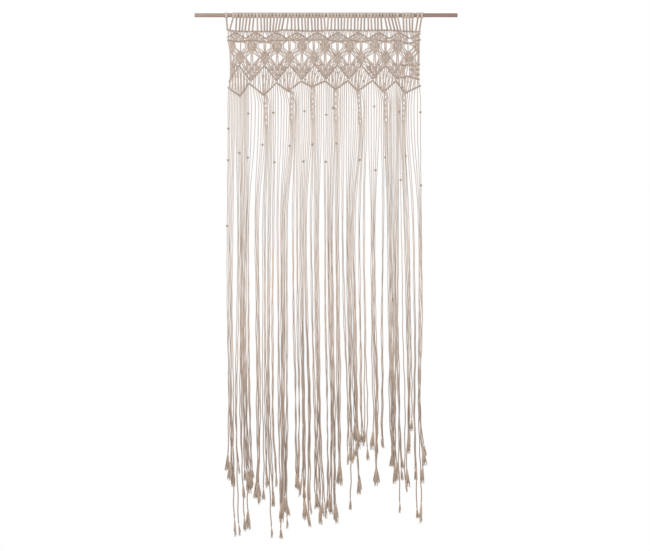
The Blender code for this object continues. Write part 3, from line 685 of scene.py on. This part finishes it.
def uneven_turn(tree, given, amount, turn):
    """A small random vector for each point, and a turn of three angles made uneven with it."""
    less = add_node(tree, "ShaderNodeMath", {0: amount, 1: -1.0}, operation="MULTIPLY")
    uneven = add_node(tree, "FunctionNodeRandomValue", {
        "Min": less, "Max": amount, "Seed": given["Seed"]}, data_type="FLOAT_VECTOR")
    both = add_node(tree, "ShaderNodeVectorMath", {0: turn, 1: uneven}, operation="ADD")
    return uneven, add_node(tree, "FunctionNodeEulerToRotation", {0: both})


def set_shapes(tree, given, points, index, rotation, scale):
    """Ends a tree: shapes set on points and made real, with their material."""
    shapes = add_node(tree, "GeometryNodeCollectionInfo", {
        "Collection": given["Shapes"], "Separate Children": True, "Reset Children": True})
    placed = add_node(tree, "GeometryNodeInstanceOnPoints", {
        "Points": points, "Instance": shapes, "Pick Instance": True, "Instance Index": index,
        "Rotation": rotation, "Scale": scale})
    real = add_node(tree, "GeometryNodeRealizeInstances", {"Geometry": placed})
    painted = add_node(tree, "GeometryNodeSetMaterial", {
        "Geometry": real, "Material": given["Finish"]})
    add_node(tree, "NodeGroupOutput", {"Geometry": painted})
    return tree


def hitches_tree(name):
    """Wraps set side by side along carrying cords, each a little uneven."""
    tree, given = new_tree(name, Spacing=3.3 * MM, Lean=0.2, Unevenness=0.1)
    curve = add_node(tree, "GeometryNodeMeshToCurve", {"Mesh": given["Geometry"]})
    spaced = add_node(tree, "GeometryNodeResampleCurve", {
        "Curve": curve, "Length": given["Spacing"]}, mode="LENGTH")
    tangent = add_node(tree, "GeometryNodeInputTangent")
    along = add_node(tree, "FunctionNodeAlignRotationToVector", {"Vector": tangent}, axis="X",
                     pivot_axis="Y")
    lean = add_node(tree, "ShaderNodeCombineXYZ", {"Y": given["Lean"]})
    uneven, euler = uneven_turn(tree, given, given["Unevenness"], lean)
    turned = add_node(tree, "FunctionNodeRotateRotation", {0: along, 1: euler},
                      rotation_space="LOCAL")
    size = add_node(tree, "ShaderNodeVectorMath", {
        0: uneven, 1: (0.6, 0.6, 0.6), 2: (1.0, 1.0, 1.0)}, operation="MULTIPLY_ADD")
    kind = add_node(tree, "FunctionNodeRandomValue", {
        "Min": 0, "Max": len(WRAP_TONES) - 1, "Seed": given["Seed"]}, data_type="INT")
    return set_shapes(tree, given, spaced, kind.outputs[2], turned, size)


def knots_tree(name):
    """Knots on points that say how each one is turned, how large it is and which kind it is."""
    tree, given = new_tree(name, Turn=0.06)
    turn, size, kind = (
        add_node(tree, "GeometryNodeInputNamedAttribute", {"Name": label}, data_type=data)
        for label, data in (("turn", "FLOAT_VECTOR"), ("size", "FLOAT_VECTOR"), ("kind", "INT")))
    _, euler = uneven_turn(tree, given, given["Turn"], turn)
    return set_shapes(tree, given, given["Geometry"], kind, euler, size)


TREES = {"hitches_along_cords": hitches_tree, "knots_on_points": knots_tree}


def grown(name, guide, tree, shapes, **values):
    """A piece made by a tree that sets shapes, which are Yarns, along or on a guide mesh."""
    shelf = bpy.data.collections.new(name + "_shapes")
    for number, shape in enumerate(shapes):
        shelf.objects.link(bpy.data.objects.new("shape_%d" % number, shape.mesh("shape")))
    carrier = new_object(name + "_guide", guide)
    run = carrier.modifiers.new(tree, "NODES")
    run.node_group = bpy.data.node_groups.get(tree) or TREES[tree](tree)
    values["Shapes"] = shelf
    for item in run.node_group.interface.items_tree:
        if item.in_out == "INPUT" and item.name in values:
            run[item.identifier] = values[item.name]
    evaluated = carrier.evaluated_get(bpy.context.evaluated_depsgraph_get())
    mesh = bpy.data.meshes.new_from_object(evaluated)
    mesh.name = name
    if not mesh.polygons:
        raise RuntimeError("the tree %s made nothing for %s" % (tree, name))
    made = new_object(name, mesh)
    for spent in (carrier, *shelf.objects):
        bpy.data.objects.remove(spent)
    bpy.data.meshes.remove(guide)
    bpy.data.collections.remove(shelf)
    return made


def hitched(name, lines, seed):
    """A piece of hitches worked along carrying cords; a line is a list of (x, z)."""
    points, edges = [], []
    for line in lines:
        edges += [(i, i + 1) for i in range(len(points), len(points) + len(line) - 1)]
        points += [(x, CLOTH_Y, z) for x, z in line]
    mesh = bpy.data.meshes.new(name + "_guide")
    mesh.from_pydata(points, edges, [])
    return grown(name, mesh, "hitches_along_cords", [hitch_wrap(tone) for tone in WRAP_TONES],
                 Seed=seed, Finish=material("laid_cotton_cord"))


def knotted(name, shapes, places, seed, turn=0.06, finish="laid_cotton_cord"):
    """A piece of knots; a place is (point, turn, size, kind), and shapes are Yarns."""
    mesh = bpy.data.meshes.new(name + "_guide")
    points, *vectors, kinds = zip(*places)
    mesh.from_pydata(points, [], [])
    for label, column in zip(("turn", "size"), vectors):
        made = mesh.attributes.new(label, "FLOAT_VECTOR", "POINT")
        made.data.foreach_set("vector", np.array(column, "f").ravel())
    mesh.attributes.new("kind", "INT", "POINT").data.foreach_set("value", kinds)
    return grown(name, mesh, "knots_on_points", shapes, Turn=turn, Seed=seed,
                 Finish=material(finish))


def turn_outwards(piece):
    """Turns a piece's faces outwards, because a mirrored shape comes out inside out."""
    faces = bmesh.new()
    faces.from_mesh(piece.data)
    bmesh.ops.recalc_face_normals(faces, faces=faces.faces)
    faces.to_mesh(piece.data)
    faces.free()


def keep(piece, *nodes, slot="cotton_cord"):
    """Lets a finished piece ride on the root body, and hides the CAD nodes that it stands for."""
    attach(piece, "root")
    if nodes:
        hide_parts(*nodes)


# ---- where everything goes ----------------------------------------------------------------
NET_CORDS, BARS_X, BARS_Z, LINE_A, LINE_B = zip(*NET)
LAID_IN = 4 * MM                 # from a knot's middle to where its cords go in and come out
BEHIND = 0.6 * MM                # a working cord comes to its knot this far behind the others
WINDOW, IN_PAIRS = 20 * MM, 1.5 * MM    # cords over a gap this high stand in pairs, this close
CHAIN_HALF = 5 * MM * CHAIN_SIZE        # half the height of a chain's knot
CHAIN_OUT = 4.4 * MM * CHAIN_SIZE       # from its middle to where its cords come out
# Strings beside a chain: how many draw up to it on either side, how far from the chain's foot
# the first of them is (it is 2.5 cords away), and from there to the next, in millimetres.
DRAWN_CORDS, BESIDE_FOOT, BESIDE_STEP = 7, 11, 5.9
TAIL_APART, TAIL_LENGTH = 3.8 * MM, 40 * MM     # the strings that leave a chain's foot
UNDER_LINE = 45 * MM             # height over which the others leave line B


def cord_x(cord):
    """Where a cord crosses the bars; cords count from the left edge, middles at one half."""
    return float(np.interp(cord, NET_CORDS, BARS_X))


def drawn_to_chain(position):
    """Place on line B, counted in cords: the cords beside a chain move up close to it."""
    off = min((position - cord for cord in NET_CORDS[3:-1:2]), key=abs)
    if abs(off) >= DRAWN_CORDS:
        return position
    near = 0.45 * abs(off) if abs(off) < 2 else abs(off) - 1.5 * (1 - abs(off) / DRAWN_CORDS)
    return position - off + math.copysign(near, off)


def on_line(line, cord):
    """Where a cord crosses a line of hitches, as (x, z)."""
    return tuple(float(np.interp(cord, NET_CORDS, axis)) for axis in zip(*line))


def on_bar_2(x):
    """The second bar rises over the upper diamonds and sags between them."""
    right = min(int(np.searchsorted(BARS_X, x, "right")), len(NET) - 1)
    share = (x - BARS_X[right - 1]) / (BARS_X[right] - BARS_X[right - 1])
    t = (1 - math.cos(math.pi * share)) / 2
    return BARS_Z[right - 1] + (BARS_Z[right] - BARS_Z[right - 1]) * t


def bars():
    """The two level bars and the zigzag between them, as lists of (x, z)."""
    xs = [float(x) for x in np.linspace(BARS_X[0], BARS_X[-1], 90)]
    zigzag = [(BARS_X[0], BAR_TOP - 26 * MM)]             # it ends on its way up at both edges
    for peak in ZIGZAG_PEAKS:
        zigzag += [(peak, ZIGZAG_HIGH), (peak + ZIGZAG_PERIOD / 2, ZIGZAG_LOW)]
    zigzag[-2:] = [(BARS_X[-1], BAR_TOP - 11 * MM)]
    return [(x, interpolated(x, BAR_1)) for x in xs], zigzag, [(x, on_bar_2(x)) for x in xs]


def row_places(count):
    """Places of so many things in a row, counted from its middle."""
    return [place - (count - 1) / 2 for place in range(count)]


def knot_rows(column, top, rows):
    """Square knots in rows under each other: first cord, how many cords, (x, z) and width; a
    place with one cord is only passed."""
    knots = []
    for row, (count, apart, width) in enumerate(rows):
        for off in row_places(count):
            x, z = cord_x(column) + off * apart, top - row * ROW_STEP
            first, last = int(column + 4 * off - 2), int(column + 4 * off + 2)
            if rows is not TRIANGLE and abs(off) == 1:    # its outermost cord passes it by
                outer = first if off < 0 else last - 1
                knots.append((outer, 1, cord_x(column) + off * OUTER, z, 0.0))
                first, last = first + (off < 0), last - (off > 0)
            knots.append((first, last - first, x, z, width))
    return knots


def peak_rows():
    """Square knots in the cords between the two bars, under the peaks of the zigzag."""
    knots = []
    for peak in ZIGZAG_PEAKS:
        middle = float(np.interp(peak, BARS_X, NET_CORDS))
        for row, (count, apart, width) in enumerate(PEAK_ROWS):
            for off in row_places(count):
                first = round(middle + 4 * off - 2)
                if 0 <= first <= CORDS - 4:
                    knots.append((first, 4, peak + off * apart, PEAK_TOP - row * PEAK_STEP,
                                  width))
    return knots


def half_rows(top, halves):
    """Square knots in rows that begin at the left and at the right edge of the net."""
    knots = []
    for side, (edge, slant, apart, rows) in zip((1, -1), halves):
        for row, places in enumerate(rows):
            for place in places:
                first = round(4 * place - 2 if side > 0 else CORDS - 2 - 4 * place)
                knots.append((first, 4, edge + side * (row * slant + place * apart),
                              top - row * ROW_STEP, apart + 1 * MM))
    return knots


def net_knots():
    """Every square knot of the net."""
    knots = peak_rows()
    for number, column in enumerate(NET_CORDS[1:-1]):
        if number % 2:
            knots += knot_rows(column, UPPER_TOP, UPPER_DIAMOND)
            knots += knot_rows(column, TRIANGLE_TOP, TRIANGLE)
        else:
            knots += knot_rows(column, LOWER_TOP, DIAMOND)
    return knots + half_rows(UPPER_TOP, HALF_DIAMONDS) + half_rows(TRIANGLE_TOP, HALF_TRIANGLES)


def slots_of(count, size=1.0):
    """How far each cord of a square knot stands from its middle."""
    offs = {1: (0.0,), 3: (-4.2, 0.0, 4.2), 4: (-5.0, -1.5, 1.5, 5.0)}[count]
    return [off * size * MM for off in offs]


HEAD_TURNS, HEAD_LIFT = 678, 66  # degrees round the rod, and over which it lifts off at last


def head_path(x, foot_x, foot_z):
    """A cord folded over the rod with a lark's head of two turns a side: up, twice round the
    rod, across the front of its own two cords, round again and down; the two hang close."""
    strand, leg = 1.7 * MM, 5.0 * MM          # from the middle to a cord and to its last turn
    on_rod = ROD_RADIUS + 1.3 * MM
    bar = on_rod + 2.8 * MM                   # the part that crosses the front
    side = []
    for degrees in np.linspace(0, HEAD_TURNS, 29):
        angle = math.radians(degrees)
        across = np.interp(degrees, (70, 330, 420, 640), (strand, strand, leg, leg))
        radius = on_rod + 2.6 * MM * max(0.0, 1 - (HEAD_TURNS - degrees) / HEAD_LIFT) ** 2
        side.append((across, -radius * math.cos(angle), radius * math.sin(angle)))
    side.append((0.55 * leg, -bar * math.cos(0.40), -bar * math.sin(0.40)))
    down = [(foot_x + (x - foot_x) * t, -on_rod + (CLOTH_Y + on_rod) * (1 - t),
             foot_z * (1 - t) - 4 * MM * t) for t in np.linspace(0, 1, 6)[:-1]]
    path = [(middle - strand, y, z) for middle, y, z in down]
    path += [(x - across, y, z) for across, y, z in side]
    path.append((x, -bar * math.cos(0.36), -bar * math.sin(0.36)))
    path += [(x + across, y, z) for across, y, z in reversed(side)]
    path += [(middle + strand, y, z) for middle, y, z in reversed(down)]
    return path


def cord_in_net(cord, knots):
    """Stretches of one cord from the first bar to line B; it is laid in at each knot's edge
    and taken up again below it where it is the knot's working cord."""
    x = cord_x(cord + 0.5)
    bar = interpolated(x, BAR_1)
    stretch = [np.array([(x, CLOTH_Y, bar), (x, CLOTH_Y, bar - 3 * MM)])]
    stretches = []

    def go_to(x, y, z):
        place, here = (x, y, z), stretch[-1][-1]
        steps = max(2, round(np.linalg.norm(np.subtract(place, here)) / (6 * MM)))
        stretch.append(bend(here, place, steps)[1:])

    mine = [(z, first, count, middle, width) for first, count, middle, z, width in knots
            if first <= cord < first + count]
    mine.append((on_bar_2(x), cord, 1, x, 0.0))
    for z, first, count, middle, width in sorted(mine, reverse=True):
        slot = cord - first
        x = middle + slots_of(count, width / KNOT_WIDTH)[slot]
        working = count > 1 and slot in (0, count - 1)
        depth = CLOTH_Y + (BEHIND if working else 0.0)
        go_to(x, depth, z + LAID_IN)
        if working:
            stretches.append(np.vstack(stretch))
            stretch[:] = [np.array([(x, depth, z - LAID_IN)])]
        else:
            go_to(x, depth, z - LAID_IN)
    x, z = on_line(LINE_A, cord + 0.5)
    go_to(x, CLOTH_Y, min(z, stretch[-1][-1][2] - 1 * MM))
    foot_x, foot_z = on_line(LINE_B, drawn_to_chain(cord + 0.5))
    if z - foot_z > WINDOW:
        towards = IN_PAIRS if cord % 2 == 0 else -IN_PAIRS
        go_to((x + foot_x) / 2 + towards, CLOTH_Y, (z + foot_z) / 2)
    go_to(foot_x, CLOTH_Y, foot_z)
    stretches.append(np.vstack(stretch))
    return stretches


def chain_cord(number):
    """Number of cords up to the middle of a chain."""
    return NET_CORDS[2 * number + 1]


def chain_places(number):
    """Square knots of a chain, from line B down to its foot, as (x, z)."""
    top = on_line(LINE_B, chain_cord(number))[1] - 2 * MM - CHAIN_HALF
    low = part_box("chain_%d" % number)[0].z + CHAIN_HALF
    first, last = CHAINS[number - 1]
    count = round((top - low) / CHAIN_STEP) + 1
    return [(first + (last - first) * t, top + (low - top) * t)
            for t in np.linspace(0, 1, count)]


def chain_paths(number):
    """The cords of a chain where they can be seen between its knots."""
    rng = np.random.default_rng(number)
    places = chain_places(number)
    swell = rng.uniform(0.3, 1.2, len(places))
    corner = on_line(LINE_B, chain_cord(number))
    paths = []
    for side in (-1, 1):
        slots = slots_of(4, side * CHAIN_SIZE)
        for slot, eye in zip(slots[2:], EYE_PATHS):
            x, z = places[0]
            eye *= side * MM
            paths.append([(corner[0] + eye, CLOTH_Y, corner[1]),
                          (x + slot, CLOTH_Y, z + CHAIN_OUT)])
            for (x0, z0), (x1, z1), size in zip(places, places[1:], swell):
                high, low, out = z0 - CHAIN_OUT, z1 + CHAIN_OUT, (eye - slot) * size
                paths.append([
                    (x0 + (x1 - x0) * t + slot + out * math.sin(math.pi * t) ** 0.7, CLOTH_Y,
                     high + (low - high) * t) for t in np.linspace(0, 1, 6)])
    return paths


def string_start(cord):
    """First points of a string as (x, z): under line B, or under the foot of a chain."""
    number = min(range(1, len(CHAINS) + 1), key=lambda n: abs(cord + 0.5 - chain_cord(n)))
    off = cord + 0.5 - chain_cord(number)
    foot_x, foot_z = chain_places(number)[-1]
    if abs(off) < 2:
        return [(foot_x + slots_of(4, CHAIN_SIZE)[int(off + 2)], foot_z - CHAIN_OUT),
                (foot_x + TAIL_APART * off, foot_z - TAIL_LENGTH)]
    top_x, z = on_line(LINE_B, drawn_to_chain(cord + 0.5))
    x = top_x + interpolated(cord, EDGES_OUT)
    if abs(off) < DRAWN_CORDS:
        near = foot_x + math.copysign(BESIDE_FOOT + BESIDE_STEP * (abs(off) - 2.5), off) * MM
        x += (near - x) * (DRAWN_CORDS - abs(off)) / (DRAWN_CORDS - 2.5)
    return [(top_x, z - 1 * MM), (x, z - UNDER_LINE), (x, foot_z)]


def string_paths():
    """Path of every string down to where it frays, and the size of its frayed end."""
    cord_settings, fray_settings = bpy.context.scene.macrame_cord, bpy.context.scene.macrame_fray
    rng = np.random.default_rng(cord_settings.seed)
    paths = []
    for count, *middles, spacing, tips in LOCKS:
        for off, (tip_x, tip_z) in zip(row_places(count), tips):
            cord = len(paths)
            stations = string_start(cord)
            size = rng.uniform(0.8, 1.15) if count < 4 else rng.uniform(0.9, 1.7)
            top, end = stations[0][1], tip_z + fray_settings.length * size
            for middle, height, share in zip(middles, LOCK_HEIGHTS, LOCK_LOOSE):
                if height > end + 0.05:
                    apart = spacing + (PITCH - spacing) * share
                    stations.append((middle + off * apart, height))
            stations.append((tip_x, end))
            heights = np.linspace(top, end, max(8, round((top - end) / STRING_STEP)) + 1)
            depth = (top - heights) / (top - end)
            xs = through(stations, heights)
            ys = CLOTH_Y + np.minimum(depth * 8, 1.0) * STRING_DEPTHS[cord % 3] * MM
            for axis, shortest, longest, swing in STRING_WAVES:
                wave, way = rng.uniform(shortest, longest), (xs, ys)[axis]
                way += (np.sin(heights / wave * 2 * math.pi + rng.uniform(0, 6.28))
                        * (swing * MM) * np.minimum(depth * 6, 1.0) * (0.4 + depth ** 2 * 1.2))
            paths.append((np.column_stack([xs, ys, heights]), size))
    return paths


def nearest_point(paths, x, z):
    """The point at that height on the path that passes nearest to x."""
    found = []
    for path in paths:
        if path[0][2] > z > path[-1][2]:
            found.append([float(np.interp(-z, -path[:, 2], path[:, axis])) for axis in range(3)])
    return min(found, key=lambda point: abs(point[0] - x))


def tied_in(name, places, paths, rng, seed, size):
    """A piece of single knots at places (x, z) in the cords that pass nearest to them."""
    knots = [(nearest_point(paths, x, z), (0, 0, rng.uniform(-0.5, 0.5)), (size, size, size), 0)
             for x, z in places]
    keep(knotted(name, [single_knot()], knots, seed, turn=0.4))


# ---- operators ----------------------------------------------------------------------------
class MACRAME_OT_rod(bpy.types.Operator):
    """Turn the wooden rod"""
    bl_idname = "macrame.rod"
    bl_label = "Rod"

    def execute(self, context):
        chamfer = context.scene.macrame_rod.chamfer
        xs = [ROD_LOW.x, ROD_LOW.x + chamfer, *np.linspace(ROD_LOW.x, ROD_HIGH.x, 22)[1:-1],
              ROD_HIGH.x - chamfer, ROD_HIGH.x]
        radii = np.full(len(xs), ROD_RADIUS)
        radii[[0, -1]] -= chamfer
        wood = Yarn(sides=48)
        wood.lay([(x, 0.0, 0.0) for x in xs], radii)
        keep(wood.piece("turned_rod", "oiled_beech"), "rod", slot="wood")
        return {"FINISHED"}


class MACRAME_OT_heading(bpy.types.Operator):
    """Fold the cords over the rod with lark's heads"""
    bl_idname = "macrame.heading"
    bl_label = "Lark's heads"

    def execute(self, context):
        settings = context.scene.macrame_cord
        rng = np.random.default_rng(settings.seed)
        yarn, loop = Yarn(), 0
        for count, first, last in LOOP_GROUPS:
            for x in np.linspace(first, last, count):
                x += rng.uniform(-0.8, 0.8) * MM if count > 2 else 0.0
                foot = x + interpolated(x, LEANS)
                path = np.array(head_path(float(x), foot, interpolated(foot, BAR_1)))
                hanging = interpolated(-path[:, 2], HANGING)
                # The cords grow darker as they hang under the rod: painted shade where the pairs
                # shade each other.
                yarn.lay(path, settings.diameter / 2 + HEAD_FULLER - HANGING_FINER * hanging,
                         tone=rng.uniform(-0.55, 0.0) - 0.5 * hanging)
                loop += 1
        if loop != CORDS // 2:
            raise RuntimeError("the loops on the rod don't add up to its cords")
        keep(yarn.piece("larks_heads"), "heading_loops")
        return {"FINISHED"}


class MACRAME_OT_net(bpy.types.Operator):
    """Run the cords through the net and tie its square knots"""
    bl_idname = "macrame.net"
    bl_label = "Net"

    def execute(self, context):
        settings = context.scene.macrame_cord
        rng = np.random.default_rng(settings.seed + 1)
        knots, yarn, runs = net_knots(), Yarn(), []
        for cord in range(CORDS):
            tone = rng.uniform(*NET_TONES)
            for stretch in cord_in_net(cord, knots):
                slack = interpolated(-stretch[:, 2], SLACK)
                yarn.lay(stretch, settings.diameter / 2 + slack, tone=tone)
            runs.append(stretch)
        keep(yarn.piece("net_cords"), "knotted_band")
        places = []
        for first, count, x, z, width in knots:
            if count > 1:
                mirror = -1.0 if (first // 2) % 2 else 1.0
                lighter = 2 if z > PEAK_LOW else 0
                places.append(((x, CLOTH_Y, z), (0, 0, 0),
                               (mirror * width / KNOT_WIDTH, 1.0, 0.9),
                               lighter + int(rng.integers(3))))
        ties = knotted("square_knots", [square_knot(tone) for tone in KNOT_TONES], places,
                       settings.seed)
        turn_outwards(ties)
        keep(ties)
        tied_in("window_knots", WINDOW_KNOTS, runs, rng, settings.seed, 1.0)
        return {"FINISHED"}


class MACRAME_OT_hitches(bpy.types.Operator):
    """Work the hitches along the two bars, the zigzag and the two lines under the net"""
    bl_idname = "macrame.hitches"
    bl_label = "Hitches"

    def execute(self, context):
        seed = context.scene.macrame_cord.seed
        keep(hitched("hitched_bars", bars(), seed))
        keep(hitched("hitched_lines", [LINE_A, LINE_B, RIGHT_BAR], seed + 1))
        return {"FINISHED"}


class MACRAME_OT_chains(bpy.types.Operator):
    """Tie the chains of square knots that hang from the net"""
    bl_idname = "macrame.chains"
    bl_label = "Chains"

    def execute(self, context):
        settings = context.scene.macrame_cord
        for number in range(1, len(CHAINS) + 1):
            knots = [((x, CLOTH_Y, z), (0, 0, 0), (CHAIN_SIZE, 1.0, CHAIN_SIZE), 0)
                     for x, z in chain_places(number)]
            keep(knotted("square_knot_chain_%d" % number, [square_knot(CHAIN_TONE)], knots,
                         settings.seed + number), "chain_%d" % number)
            yarn = Yarn()
            for path in chain_paths(number):
                yarn.lay(path, settings.diameter / 2, tone=CHAIN_TONE)
            keep(yarn.piece("chain_cords_%d" % number))
        return {"FINISHED"}


class MACRAME_OT_strings(bpy.types.Operator):
    """Hang the strings, with their single knots and frayed ends"""
    bl_idname = "macrame.strings"
    bl_label = "Strings"

    def execute(self, context):
        settings, fray_settings = context.scene.macrame_cord, context.scene.macrame_fray
        rng = np.random.default_rng(settings.seed + 2)
        paths = string_paths()
        if len(paths) != CORDS:
            raise RuntimeError("the locks don't add up to the strings")
        yarn, lines = Yarn(), [path for path, _ in paths]
        for path in lines:
            high, low, unlaid = (interpolated(-path[:, 2], table)
                                 for table in (STRING_HIGH, STRING_LOW, STRING_UNLAID))
            fuller = (0.45 * low + 0.25 * high + 0.25 * unlaid) * MM
            yarn.lay(path, settings.diameter / 2 + fuller,
                     tone=rng.uniform(0, 1) * (1 - low) - low - 0.6 * high)
        keep(yarn.piece("strings"), "string_fringe")
        tied_in("string_knots", STRING_KNOTS, lines, rng, settings.seed, 1.2)
        ends = []
        for path, size in paths:
            sway = math.atan2(path[-1, 0] - path[-3, 0], path[-3, 2] - path[-1, 2])
            ends.append((path[-1], (0, -sway, 0), (max(size, 1.0), 1.0, size),
                         int(rng.integers(len(FRAY_SPREADS)))))
        shapes = [fray(kind, fray_settings.length) for kind in range(len(FRAY_SPREADS))]
        keep(knotted("frayed_ends", shapes, ends, settings.seed, turn=0.08,
                     finish="frayed_cotton_yarn"))
        return {"FINISHED"}


class MACRAME_OT_stage(bpy.types.Operator):
    """Set the camera, the floor and the lights"""
    bl_idname = "macrame.stage"
    bl_label = "Stage"

    def execute(self, context):
        scene, stage = context.scene, context.scene.macrame_stage
        data = bpy.data.cameras.new("camera")
        data.sensor_width = 36.0
        data.lens = data.sensor_width * (stage.distance + CLOTH_Y) / stage.view_width
        data.clip_end = 60.0
        scene.camera = new_object("camera", data)
        scene.camera.location = (stage.view_x, -stage.distance, stage.view_z)
        scene.camera.rotation_euler = (math.pi / 2, 0, 0)

        mesh = bpy.data.meshes.new("floor")
        mesh.from_pydata([(x, y, stage.floor_z) for x, y in FLOOR], [], [(0, 1, 2, 3)])
        paint, _ = new_material("matt_white_floor", {
            "Roughness": 0.8, "Base Color": linear("#F2F0EC")})
        mesh.materials.append(paint)
        new_object("floor", mesh)

        for name, power, place, size in (
                ("key_light", stage.key, (-2.4, -3.4, 1.0), 2.2),
                ("fill_light", stage.fill, (2.8, -3.0, -0.6), 2.6)):
            data = bpy.data.lights.new(name, "AREA")
            data.shape, data.size, data.energy = "DISK", size, power
            light = new_object(name, data)
            light.location = place
            aim = LIT - Vector(place)
            light.rotation_euler = aim.to_track_quat("-Z", "Y").to_euler()

        scene.world = bpy.data.worlds.new("white_studio")
        scene.world.use_nodes = True
        tree = scene.world.node_tree
        tree.nodes.clear()
        seen = add_node(tree, "ShaderNodeLightPath")
        sky, white = (add_node(tree, "ShaderNodeBackground", {
            "Color": (1.0, 1.0, 1.0, 1.0), "Strength": amount}) for amount in (stage.sky, 1.0))
        mix = add_node(tree, "ShaderNodeMixShader", {
            0: seen.outputs["Is Camera Ray"], 1: sky, 2: white})
        add_node(tree, "ShaderNodeOutputWorld", {0: mix})
        scene.view_settings.view_transform = "Standard"
        return {"FINISHED"}


OPERATORS = (MACRAME_OT_stage, MACRAME_OT_rod, MACRAME_OT_heading, MACRAME_OT_net,
             MACRAME_OT_hitches, MACRAME_OT_chains, MACRAME_OT_strings)


class MACRAME_PT_panel(bpy.types.Panel):
    """Lists the steps of the curtain and its settings"""
    bl_idname = "MACRAME_PT_panel"
    bl_label = "Macrame curtain"
    bl_space_type = "VIEW_3D"
    bl_region_type = "UI"
    bl_category = "Macrame"

    def draw(self, context):
        for operator in OPERATORS:
            self.layout.operator(operator.bl_idname)
        for name, group in SETTINGS.items():
            box = self.layout.box()
            for field in group.__annotations__:
                box.prop(getattr(context.scene, name), field)


def register():
    for made in (*SETTINGS.values(), *OPERATORS, MACRAME_PT_panel):
        bpy.utils.register_class(made)
    for name, group in SETTINGS.items():
        setattr(bpy.types.Scene, name, PointerProperty(type=group))


def unregister():
    for name in SETTINGS:
        delattr(bpy.types.Scene, name)
    for made in (MACRAME_PT_panel, *reversed(OPERATORS), *SETTINGS.values()):
        bpy.utils.unregister_class(made)


def main():
    register()
    for operator in OPERATORS:
        group, name = operator.bl_idname.split(".")
        getattr(getattr(bpy.ops, group), name)()


if __name__ == "__main__":
    main()
